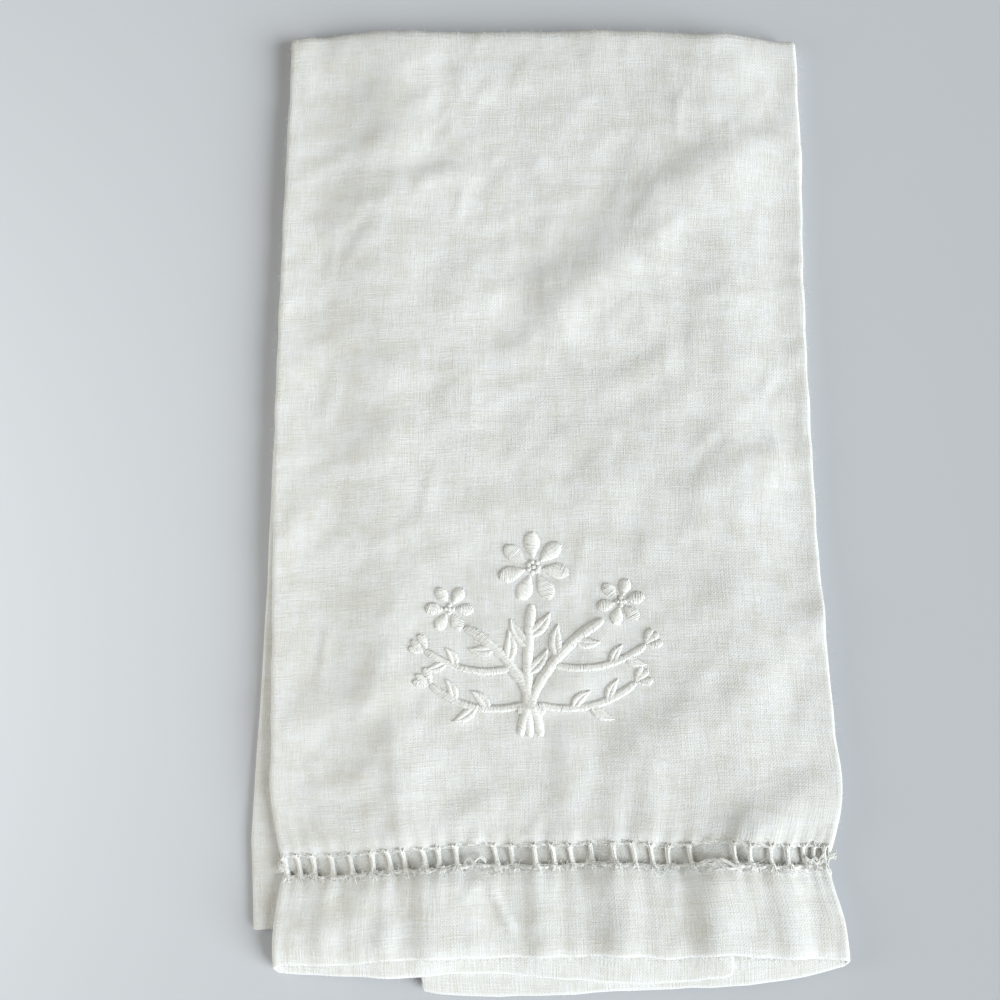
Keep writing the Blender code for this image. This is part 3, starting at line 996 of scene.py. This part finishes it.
def bundles():
    """The paths of all bundle threads, as arrays of bars, threads and points."""
    draw = np.random.default_rng(3)
    bars = bar_places()
    bars = bars + draw.normal(0, BAR_JITTER, len(bars)) * MM
    t = np.linspace(-1, 1, BAR_POINTS)
    thread = np.linspace(-1, 1, THREADS_IN_BAR)
    waist = draw.uniform(-WAIST_JITTER, WAIST_JITTER, (len(bars), 1, 1))
    flare = np.abs(t - waist) ** 3
    spread = BAR_WAIST + BAR_SPREAD * flare
    lean = BAR_LEAN * draw.uniform(0.5, 1.15, (len(bars), 1, 1))
    bow = draw.normal(0, BAR_BOW, (len(bars), 1, 1)) * MM * (1 - t**2)
    across = bars[:, None, None] + thread[None, :, None] * spread - lean * t / 2 + bow
    along = HEM + BAND / 2 + t * (BAND / 2 + BAR_ROOT) + 0 * across
    along += band_pull(across, HEM + BAND)
    jitter = draw.normal(0, THREAD_JITTER, (len(bars), THREADS_IN_BAR, 1)) * MM
    rise = BAR_CROWN * np.cos(math.pi * thread / 2)[None, :, None] + jitter * (1 - t**2)
    above = rise + ROOT_LIFT * np.abs(t) ** 4 * smooth_step(np.abs(t), 0.4, 0.8)
    return on_cloth(across, along, above).reshape(-1, BAR_POINTS, 3)


bundle_piece = tubes("openwork_bundles", bundles(), THREAD_RADIUS, 5, THREAD)

# %% [markdown]
# ## Where on the cloth is that?
#
# The stitches are placed by where they are seen, in mm from the towel's middle, but they must lie on the
# cloth and follow its creases. So the fold's sums are run backwards for the front panel: a place on top of
# the towel gives the place on the flat cloth, and the fold then gives the exact height and slant there.

# %% From the towel's top back to the flat cloth
def flat_of(x, y):
    """The flat cloth's coordinates of a place on the front panel, given in mm."""
    x, y = x * MM - SHIFT_X, y * MM - SHIFT_Y
    hem, axis = end(x, "front"), end(x, "fold")
    along = (y - hem) / (axis - hem) * FRONT_LENGTH
    left_inside = side(along, "left") + FOLD_RADIUS
    right_inside = side(along, "right") - FOLD_RADIUS
    return FRONT_START + (x - left_inside) / (right_inside - left_inside) * FRONT_PANEL, along


def on_front(points):
    """Carries points (x, y, height above the cloth), all in mm, onto the front panel."""
    across, along = flat_of(points[..., 0], points[..., 1])
    thick = np.where(along < HEM, HEM_CLOTH, SINGLE_CLOTH) / 2
    return on_cloth(across, along, thick + points[..., 2] * MM)


there = on_front(np.array([[0.0, 0.0, 0.0]]))[0]
print("the cloth's top at the towel's middle, in mm:", np.round(there / MM, 1).tolist())

# %% [markdown]
# ## Hemstitching and the frayed edges
#
# The thread that draws each bundle together goes once or twice round its foot and then takes a small bite of
# the cloth. So there is a coil round every foot, a flatter one on the hem below each lower foot, and two
# short stitches beside every foot. The crosswise threads nearest the openwork have worked loose over the
# years: they lie along both edges as soft, wavy strands on a lumpy roll of felted flax.

# %% Coils, bites and loose strands
COIL_POINTS = 15
COIL_TURNS = 1.6
COIL_CLIMB = 0.28 * MM
COIL_LIFT = 0.1 * MM
LOW_COIL = (0.62 * MM, 0.42 * MM)
HIGH_COIL = (0.52 * MM, 0.22 * MM)
FLAT_COIL = (0.85 * MM, 0.18 * MM, 0.5 * MM)
FLAT_COIL_BELOW = 1.05 * MM
LOW_BITE = (-2.2 * MM, 1.1 * MM)
HIGH_BITE = (1.1 * MM, 0.8 * MM)
BITE_POINTS = 7
FOOT_LEAN = BAR_LEAN * 0.4
STITCH_RADIUS = 0.16 * MM
EDGE_STRANDS = 5
EDGE_POINTS = 260
STRAND_LIFT = 0.24 * MM
STRAND_RADIUS = 0.13 * MM
STRAND_SWAY = 0.22 * MM
STRAND_BOB = 0.08 * MM
ROLL_SWAY = 0.25 * MM
ROLLS = ((HEM - 0.3 * MM, 0.50, 0.12), (HEM + BAND + 0.25 * MM, 0.24, -0.06))
LUMP_WAVES = (0.31, 0.52, 1.3, 2.9)
SWAY_WAVES = (0.7, 1.9, 4.3)


def coils(across, along, wide, high, lift=COIL_LIFT):
    """A helix round each bundle's foot: wide across and high above the cloth, one row of points each."""
    draw = np.random.default_rng(5)
    turn = np.linspace(0, 2 * math.pi * COIL_TURNS, COIL_POINTS) + draw.uniform(0, 3, (len(across), 1))
    climb = np.linspace(-COIL_CLIMB, COIL_CLIMB, COIL_POINTS)
    return on_cloth(across[:, None] + wide * np.cos(turn), along[:, None] + climb, high * np.sin(turn) + lift)


def bites(across, along, reach, spread):
    """Two short stitches from each foot into the cloth: low at both ends and highest between."""
    draw = np.random.default_rng(6)
    t = np.linspace(0, 1, BITE_POINTS)
    paths = []
    for way in (-1, 1):
        aside = way * spread * draw.uniform(0.5, 1.2, (len(across), 1))
        length = reach * draw.uniform(0.7, 1.15, (len(across), 1))
        above = (0.35 + 0.45 * np.sin(math.pi * t)) * MM + 0 * length
        paths.append(on_cloth(across[:, None] + aside * t, along[:, None] + length * t, above - 0.1 * MM * t))
    return np.concatenate(paths)


def waver(across, waves, draw):
    """The mean of some sines of the distance across, one for each wave in mm, with random phases."""
    return sum(np.sin(across / (wave * MM) + draw.uniform(0, 6)) for wave in waves) / len(waves)


def edge_strands(along, side_of_edge):
    """Wavy strands along one edge of the openwork, as sums of sines of the distance across."""
    draw = np.random.default_rng(8 + int(along / MM))
    across = FRONT_START + np.linspace(0.2, FRONT_PANEL / MM - 0.2, EDGE_POINTS) * MM
    across = np.tile(across, (EDGE_STRANDS, 1))
    waves = [draw.uniform(0.6, 3.6, (EDGE_STRANDS, 1)) for _ in range(4)]
    phases = [draw.uniform(0, 6, (EDGE_STRANDS, 1)) for _ in range(4)]
    sines = [np.sin(across / (wave * MM) + phase) for wave, phase in zip(waves, phases)]
    sway, bob = (sines[0] + sines[1]) / 2, (sines[2] + sines[3]) / 2
    offset = side_of_edge * np.linspace(0.15, -0.7, EDGE_STRANDS)[:, None] * MM
    place = along + band_pull(across, along) + offset + STRAND_SWAY * sway
    above = STRAND_LIFT * (1 if side_of_edge > 0 else 0.4)
    return on_cloth(across, place, above + STRAND_BOB * bob)


def felted_edges():
    """One lumpy roll along each edge of the openwork, and its radius at every point.

    Each roll has its distance along the cloth, its radius and its height in mm.
    """
    draw = np.random.default_rng(14)
    across = FRONT_START + np.linspace(0.1, FRONT_PANEL / MM - 0.1, EDGE_POINTS * 2) * MM
    paths, radii = [], []
    for along, thick, lift in ROLLS:
        lumps = waver(across, LUMP_WAVES, draw)
        sway = waver(across, SWAY_WAVES, draw)
        place = along + band_pull(across, along) + ROLL_SWAY * sway
        paths.append(on_cloth(across, place, (lift + 0.08 * lumps) * MM))
        radii.append(thick * MM * (0.85 + 0.55 * lumps))
    return np.stack(paths), np.stack(radii)


front_feet = bar_places()
front_feet = front_feet[in_front_panel(front_feet)]
pull = band_pull(front_feet, HEM)
low, high = HEM + pull + 0.25 * MM, HEM + BAND + pull + 0.1 * MM
low_feet, high_feet = front_feet + FOOT_LEAN, front_feet - FOOT_LEAN
paths = [coils(low_feet, low, *LOW_COIL), coils(high_feet, high, *HIGH_COIL)]
paths.append(coils(low_feet, low - FLAT_COIL_BELOW, *FLAT_COIL))
coil_piece = tubes("hemstitch_coils", np.concatenate(paths), STITCH_RADIUS, 5, THREAD)
paths = [bites(low_feet, low, *LOW_BITE), bites(high_feet, high, *HIGH_BITE)]
bite_piece = tubes("hemstitch_bites", np.concatenate(paths), STITCH_RADIUS, 5, THREAD)
paths = np.concatenate([edge_strands(HEM, 1), edge_strands(HEM + BAND, -1)])
strand_piece = tubes("loose_edge_threads", paths, STRAND_RADIUS, 5, THREAD)
roll_piece = tubes("felted_edges", *felted_edges(), 7, THREAD)

# %% [markdown]
# Two bars have broken, and their threads lie in the gap as a few limp strands. Each row is
# the points of one strand on top of the towel; a smooth curve goes through them, and a few copies side by
# side make it look like flax that has come untwisted. Frayed tufts stick out where the openwork meets the
# side folds.

# %% Limp strands and tufts
LIMP_STRANDS = (
    ((38.6, -99.9, 0.3), (41.0, -99.2, 0.6), (43.6, -99.3, 0.8), (46.2, -100.8, 0.5), (49.0, -100.2, 0.3)),
    ((39.4, -99.4, 0.2), (42.0, -100.2, 0.5), (44.4, -98.7, 0.8), (47.2, -99.9, 0.6), (49.4, -101.2, 0.3)),
    ((66.6, -98.6, 0.3), (68.0, -99.8, 0.5), (69.4, -99.0, 0.5), (70.8, -100.2, 0.5), (72.0, -99.4, 0.4)),
    ((67.4, -100.8, 0.3), (68.6, -99.8, 0.5), (70.0, -100.4, 0.6), (71.2, -98.8, 0.5), (72.2, -98.2, 0.3)),
    ((-21.5, -99.8, 0.2), (-20.4, -98.6, 0.5), (-18.8, -99.6, 0.8), (-17.4, -98.2, 0.6), (-15.8, -99.4, 0.2)),
    (
        (-70.2, -98.6, 0.2),
        (-69.4, -99.8, 0.4),
        (-68.6, -100.6, 0.5),
        (-67.6, -101.8, 0.4),
        (-66.8, -102.6, 0.2),
    ),
)
LIMP_POINTS = 33
LIMP_COPIES = 5
LIMP_RADIUS = 0.11 * MM
LIMP_SPREAD = (0.06, 0.38, 0.03)
TUFT_STRANDS = 9
TUFT_PLACES = ((FRONT_START - FOLD_LENGTH / 2, 0.6, -1), (RIGHT_START - FOLD_LENGTH / 2, 2.9, 1))


def through_points(points, count):
    """A smooth curve through points: each span is the cubic whose slopes are the points' own."""
    points = np.asarray(points, float)
    slopes = np.gradient(points, axis=0)
    place = np.linspace(0, len(points) - 1, count)
    i = np.clip(place.astype(int), 0, len(points) - 2)
    t = (place - i)[:, None]
    blend = points[i] * (1 - t) ** 2 * (1 + 2 * t) + points[i + 1] * t**2 * (3 - 2 * t)
    return blend + slopes[i] * t * (1 - t) ** 2 - slopes[i + 1] * t**2 * (1 - t)


def limp_strands():
    """Copies of each limp strand side by side, each with its own small waves."""
    draw = np.random.default_rng(9)
    t = np.linspace(0, 1, LIMP_POINTS)[None, :, None]
    curves = np.stack([through_points(strand, LIMP_POINTS) for strand in LIMP_STRANDS])
    aside = np.linspace(-1, 1, LIMP_COPIES)[:, None, None] * LIMP_SPREAD
    curves = (curves[:, None] + aside).reshape(-1, LIMP_POINTS, 3)
    phase = draw.uniform(0, 6, (len(curves), 1, 3))
    return on_front(curves + 0.07 * np.sin(t * 9 + phase) + 0.04 * np.sin(t * 23 + 2 * phase))


def tufts():
    """Frayed ends that stick out of the side folds where the openwork meets them, placed from the fold."""
    draw = np.random.default_rng(10)
    curves = []
    for across, rise, way in TUFT_PLACES:
        foot = fold(np.array([across]), np.array([HEM + BAND / 2 + rise * MM]))
        for _ in range(TUFT_STRANDS):
            reach = draw.uniform(0.5, 1.9)
            drift = draw.uniform(-1.2, 1.2, 3)
            points = [(-0.5, drift[0], 0.5), (0.35 * reach, drift[1] * 0.7, 0.6), (reach, drift[2], 0.1)]
            points.append((reach * 1.1, drift[2] + 0.6, -0.5))
            curves.append(foot + through_points(np.array(points) * (way, 1, 1), LIMP_POINTS) * MM)
    return np.stack(curves)


limp_paths = np.concatenate([limp_strands(), tufts()])
limp_piece = tubes("limp_threads", limp_paths, LIMP_RADIUS, 5, THREAD)

# %% [markdown]
# ## The embroidery
#
# Padded satin stitch is worked over a cord or a filling of plain stitches: the needle goes from edge to edge
# of the shape, each stitch beside the last, and the row of them stands up like a smooth roll. So a shape is
# only a middle line and a width, and everything else follows: the stitches are pairs of points on its two
# edges, a thread's width apart, and each is a thread that rises from one, arches and goes down at the other.
# The spray is a plain one of flowers, leaves and buds on stems tied together.

# %% Shapes for satin stitch
STITCH_PITCH = 0.36
STITCH_THREAD = 0.22 * MM
STITCH_POINTS = 9
SHORTEST_STITCH = 0.35
WIDEST_ARCH = 2.4
STITCH_SINK = 0.12
STITCH_RISE = 0.17
STITCH_JITTER = 0.045
STITCH_SLANT = {"stem": 0.22, "leaf": 0.0, "petal": 0.10}
LEAF_SLANT = 0.9


class Shape(NamedTuple):
    """One stitched shape, in mm: the ends of its middle line, its bow, its width and its kind."""

    x0: float
    y0: float
    x1: float
    y1: float
    bow: float
    width: float
    kind: str


STEMS = (
    Shape(-4.4, -68.0, -3.6, -33.5, 0.9, 2.4, "stem"),
    Shape(-1.5, -68.0, -21.5, -39.5, -4.2, 2.3, "stem"),
    Shape(-7.0, -67.8, 15.4, -37.6, 4.2, 2.3, "stem"),
    Shape(-5.6, -59.6, -30.5, -54.5, 3.4, 1.7, "stem"),
    Shape(-2.6, -59.6, 23.6, -54.0, -3.4, 1.7, "stem"),
    Shape(-9.6, -50.4, -31.8, -45.6, 2.6, 1.6, "stem"),
    Shape(2.4, -49.6, 26.4, -44.2, -2.8, 1.6, "stem"),
    Shape(-7.6, -60.7, -0.6, -61.5, 0.4, 2.6, "stem"),
)


class Leaf(NamedTuple):
    """A leaf: its stem's number, how far up it grows, its angle to the left in degrees, its size in mm."""

    stem: int
    share: float
    angle: float
    length: float
    width: float


LEAVES = (
    Leaf(0, 0.40, 40, 8.0, 3.0),
    Leaf(0, 0.48, -40, 8.0, 3.0),
    Leaf(0, 0.68, 38, 8.4, 3.2),
    Leaf(0, 0.76, -38, 8.0, 3.0),
    Leaf(1, 0.60, -42, 8.2, 3.2),
    Leaf(1, 0.74, 44, 6.6, 2.8),
    Leaf(2, 0.60, 42, 8.2, 3.2),
    Leaf(2, 0.76, -44, 6.6, 2.8),
    Leaf(3, 0.36, -42, 6.4, 2.6),
    Leaf(3, 0.50, 44, 6.8, 2.7),
    Leaf(3, 0.72, -42, 5.8, 2.4),
    Leaf(4, 0.34, 42, 6.4, 2.6),
    Leaf(4, 0.52, -44, 6.8, 2.7),
    Leaf(4, 0.70, 42, 5.8, 2.4),
    Leaf(5, 0.62, -42, 5.4, 2.3),
    Leaf(5, 0.74, 44, 5.6, 2.3),
    Leaf(6, 0.60, 42, 5.4, 2.3),
    Leaf(6, 0.76, -44, 5.6, 2.3),
)
BUD_STEMS = (3, 4, 5, 6)
BUD_LENGTH = 4.6
BUD_WIDTH = 1.9
BUD_ANGLES = (-27, 1, 27)
LEAF_BOW = 0.09
FLOWERS = ((-3.2, -23.6, 9.4, 7, 90), (-25.6, -34.8, 6.2, 6, 115), (20.0, -32.8, 6.2, 6, 70))
PETAL_WIDTH = 0.56
PETAL_START = 0.24
PETAL_BOW = 0.05


def middle_line(shape, t):
    """Points on a shape's middle line, and the directions to its left."""
    run = np.array([shape.x1 - shape.x0, shape.y1 - shape.y0])
    length = math.hypot(*run)
    left = np.array([-run[1], run[0]]) / length
    points = np.array([shape.x0, shape.y0]) + t[:, None] * run + (4 * t * (1 - t) * shape.bow)[:, None] * left
    slope = run / length + ((4 - 8 * t) * shape.bow / length)[:, None] * left
    return points, np.stack([-slope[:, 1], slope[:, 0]], axis=-1)


def grown(stem, share, angle, length, width, kind):
    """A shape that leaves a stem at a share of its length, at an angle to its left in degrees."""
    (point,), (left,) = middle_line(stem, np.array([share]))
    heading = math.atan2(-left[0], left[1]) + math.radians(angle)
    stop = point + length * np.array([math.cos(heading), math.sin(heading)])
    return Shape(*point, *stop, math.copysign(LEAF_BOW * length, angle), width, kind)


def leaves():
    """Every leaf, grown from its stem."""
    return [grown(STEMS[leaf.stem], *leaf[1:], "leaf") for leaf in LEAVES]


def petals():
    """Every flower's petals, as shapes that start near its middle and widen outwards."""
    shapes = []
    for x, y, reach, count, first in FLOWERS:
        for angle in np.radians(first + np.arange(count) * 360 / count):
            towards = np.array([math.cos(angle), math.sin(angle)])
            start = np.array([x, y]) + towards * reach * PETAL_START
            stop = np.array([x, y]) + towards * reach
            width = PETAL_WIDTH * reach * 6 / (count + 0.6)
            shapes.append(Shape(*start, *stop, PETAL_BOW * reach, width, "petal"))
    for stem in BUD_STEMS:
        shapes += [grown(STEMS[stem], 1.0, aside, BUD_LENGTH, BUD_WIDTH, "petal") for aside in BUD_ANGLES]
    return shapes


def half_width(kind, t):
    """The share of its width that a shape has to either side at a share t of its length."""
    if kind == "stem":
        return 0.5 * (1 - np.abs(2 * t - 1) ** 12) ** 0.5
    if kind == "leaf":
        return 0.5 * np.sin(math.pi * t**0.8) ** 0.9
    return 0.5 * np.sin(math.pi * t**1.6) ** 0.62


def stitch_ends(shape):
    """Both ends and the height of each stitch of a shape. A leaf has two rows that meet in its middle."""
    length = math.hypot(shape.x1 - shape.x0, shape.y1 - shape.y0)
    t = np.linspace(0.01, 0.99, max(round(length / STITCH_PITCH), 4))
    middle, left = middle_line(shape, t)
    reach = half_width(shape.kind, t)[:, None] * shape.width
    slant = STITCH_SLANT[shape.kind] * shape.width
    forward = np.stack([left[:, 1], -left[:, 0]], axis=-1) * slant * reach / shape.width
    if shape.kind != "leaf":
        starts, stops = middle - left * reach - forward, middle + left * reach + forward
    else:
        further = np.minimum(t + LEAF_SLANT / length, 1)
        ahead, ahead_left = middle_line(shape, further)
        ahead_reach = half_width("leaf", further)[:, None] * shape.width
        starts = np.concatenate([middle, middle])
        stops = np.concatenate([ahead + ahead_left * ahead_reach, ahead - ahead_left * ahead_reach])
    long = np.linalg.norm(stops - starts, axis=1)
    kept = long > SHORTEST_STITCH
    return starts[kept], stops[kept], (STITCH_SINK + STITCH_RISE * long.clip(0, WIDEST_ARCH))[kept]


def satin_stitches(shapes):
    """The path of every stitch: straight from above, and an arch with steep sides as seen along it."""
    draw = np.random.default_rng(21)
    starts, stops, heights = (np.concatenate(ends) for ends in zip(*(stitch_ends(shape) for shape in shapes)))
    starts = starts + draw.normal(0, STITCH_JITTER, starts.shape)
    stops = stops + draw.normal(0, STITCH_JITTER, stops.shape)
    heights = heights * draw.uniform(0.9, 1.1, len(heights))
    s = (1 - np.cos(np.linspace(0, math.pi, STITCH_POINTS))) / 2
    flat = starts[:, None] + (stops - starts)[:, None] * s[:, None]
    above = (heights[:, None] + STITCH_SINK) * (4 * s * (1 - s)) ** 0.5 - STITCH_SINK
    return on_front(np.concatenate([flat, above[..., None]], axis=-1))


stem_paths = satin_stitches([*leaves(), *STEMS])
stems_piece = tubes("embroidered_stems_and_leaves", stem_paths, STITCH_THREAD, 5, THREAD)
flowers_piece = tubes("embroidered_flowers_and_buds", satin_stitches(petals()), STITCH_THREAD, 5, THREAD)

# %% [markdown]
# A flower's middle is a handful of French knots: the thread is wound round the needle and pulled down, so
# each knot is a small coil that sits on the cloth.

# %% French knots
KNOT_POINTS = 19
KNOT_TURNS = 1.8
KNOT_RADII = (0.42, 0.16)
KNOT_HEIGHTS = (0.22, 0.64)
KNOT_RING = 0.15


def knots():
    """Coils of a little under two turns: a ring of knots and one in the middle of each flower."""
    middles = []
    for x, y, reach, _, _ in FLOWERS:
        count = 7 if reach > 8 else 4
        angle = np.arange(count) * 2 * math.pi / count
        ring = reach * KNOT_RING
        middles += [(x, y)] + list(zip(x + ring * np.cos(angle), y + ring * np.sin(angle)))
    middles = np.array(middles)[:, None]
    turn = np.linspace(0, 2 * math.pi * KNOT_TURNS, KNOT_POINTS) + np.arange(len(middles))[:, None] * 1.7
    wide = np.linspace(*KNOT_RADII, KNOT_POINTS)
    ring = np.stack([wide * np.cos(turn), wide * np.sin(turn)], axis=-1)
    above = np.broadcast_to(np.linspace(*KNOT_HEIGHTS, KNOT_POINTS), turn.shape)
    return on_front(np.concatenate([middles + ring, above[..., None]], axis=-1))


knots_piece = tubes("french_knots", knots(), STITCH_THREAD, 6, THREAD)

# %% [markdown]
# ## Fuzz
#
# Linen this old has a halo of fine fibres where it is rubbed: on its folds, its hems and the edges of the
# openwork. Each is a short curved hair. They start on the cloth's surface, point away from it and a little to
# one side, and are too fine to see singly, but without them the edges look cut out of paper.

# %% Fibres
FIBRE_RADIUS = 0.028 * MM
FRAY_RADIUS = 0.062 * MM
FIBRE_POINTS = 5
HEM_SIDE_HAIRS = 900
BODY_SIDE_HAIRS = 600
ABOVE_BAND = (HEM + BAND, FRONT_LENGTH)
FRONT = (FRONT_START, FRONT_START + FRONT_PANEL)
AT_HEM = (0.15 * MM,)
LEFT_FOLD = LEFT_PANEL + FOLD_LENGTH / 2
RIGHT_FOLD = RIGHT_START - FOLD_LENGTH / 2


class Hairs(NamedTuple):
    """Some hairs: how many, their ranges across and along, the way they lean and their lengths in mm.

    A range along with a single number puts all of them there.
    """

    count: int
    across: tuple
    along: tuple
    outward: tuple
    lengths: tuple
    seed: int


HAIRS = (
    Hairs(420, (LEFT_FOLD - 0.5 * MM, LEFT_FOLD + 0.8 * MM), ABOVE_BAND, (-1, 0, 0.2), (0.5, 1.1), 1),
    Hairs(420, (RIGHT_FOLD - 0.8 * MM, RIGHT_FOLD + 0.5 * MM), ABOVE_BAND, (1, 0, 0.2), (0.5, 1.1), 2),
    Hairs(420, FRONT, AT_HEM, (0, -1, 0.3), (0.4, 1.0), 3),
    Hairs(200, (LEFT_PANEL - 80 * MM, LEFT_PANEL), AT_HEM, (0, -1, 0.3), (0.4, 1.0), 4),
    Hairs(300, (RIGHT_START, CLOTH_WIDTH), AT_HEM, (0, -1, 0.3), (0.4, 1.0), 5),
    Hairs(300, FRONT, (FRONT_LENGTH, FRONT_LENGTH + 3 * MM), (0, 0.8, 0.5), (0.4, 0.9), 8),
    Hairs(500, FRONT, ABOVE_BAND, (0, 0, 0.35), (0.4, 0.9), 9),
)


def fibres(across, along, outward, lengths, seed):
    """Short curved hairs from places on the cloth. Outward is the way they lean, in the room's axes."""
    draw = np.random.default_rng(seed)
    count = len(across)
    start = on_cloth(across, along, np.where((along < HEM), HEM_CLOTH, SINGLE_CLOTH) * 0.45)
    lean = np.asarray(outward, float) + draw.normal(0, 0.55, (count, 3))
    lean[:, 2] = np.abs(lean[:, 2])
    lean /= np.linalg.norm(lean, axis=1, keepdims=True)
    bend = draw.normal(0, 0.5, (count, 3))
    length = draw.uniform(*lengths, (count, 1)) ** 1.5 * MM
    t = np.linspace(0, 1, FIBRE_POINTS)[None, :, None]
    return start[:, None] + length[:, None] * (lean[:, None] * t + bend[:, None] * t**2)


def fuzz():
    """Hairs on both side folds, the three hems, the crosswise fold and, thinly, the whole front."""
    draw = np.random.default_rng(31)
    paths = []
    for hairs in HAIRS:
        across = draw.uniform(*hairs.across, hairs.count)
        along = np.full(hairs.count, hairs.along[0])
        if hairs.along != AT_HEM:
            along = draw.uniform(*hairs.along, hairs.count)
        paths.append(fibres(across, along, hairs.outward, hairs.lengths, hairs.seed))
    return np.concatenate(paths)


def fray():
    """Coarser hairs, broken ends of the crosswise threads, along both edges of the openwork."""
    draw = np.random.default_rng(41)
    across = FRONT_START + draw.uniform(0, FRONT_PANEL, HEM_SIDE_HAIRS + BODY_SIDE_HAIRS)
    hem_side, body_side = across[:HEM_SIDE_HAIRS], across[HEM_SIDE_HAIRS:]
    low_place = HEM - draw.uniform(-0.2, 1.8, HEM_SIDE_HAIRS) * MM
    high_place = HEM + BAND + draw.uniform(-0.2, 0.9, BODY_SIDE_HAIRS) * MM
    low_place += band_pull(hem_side, HEM)
    high_place += band_pull(body_side, HEM + BAND)
    low = fibres(hem_side, low_place, (0, 0.3, 0.5), (0.7, 1.45), 6)
    high = fibres(body_side, high_place, (0, -0.4, 0.5), (0.5, 1.1), 7)
    return np.concatenate([low, high])


fuzz_piece = tubes("fuzz", fuzz(), FIBRE_RADIUS, 3, THREAD)
fray_piece = tubes("frayed_ends", fray(), FRAY_RADIUS, 3, THREAD)
sewn = [bundle_piece, coil_piece, bite_piece, strand_piece, roll_piece, limp_piece]
sewn += [stems_piece, flowers_piece, knots_piece, fuzz_piece, fray_piece]

# %% [markdown]
# ## The pieces and the solid
#
# The pieces ride on the towel's one body, and the cloth stands for the plain solid, which is then hidden.

# %% The pieces ride on the towel's body
for piece in [cloth, *sewn]:
    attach(piece, "root")
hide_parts("towel")
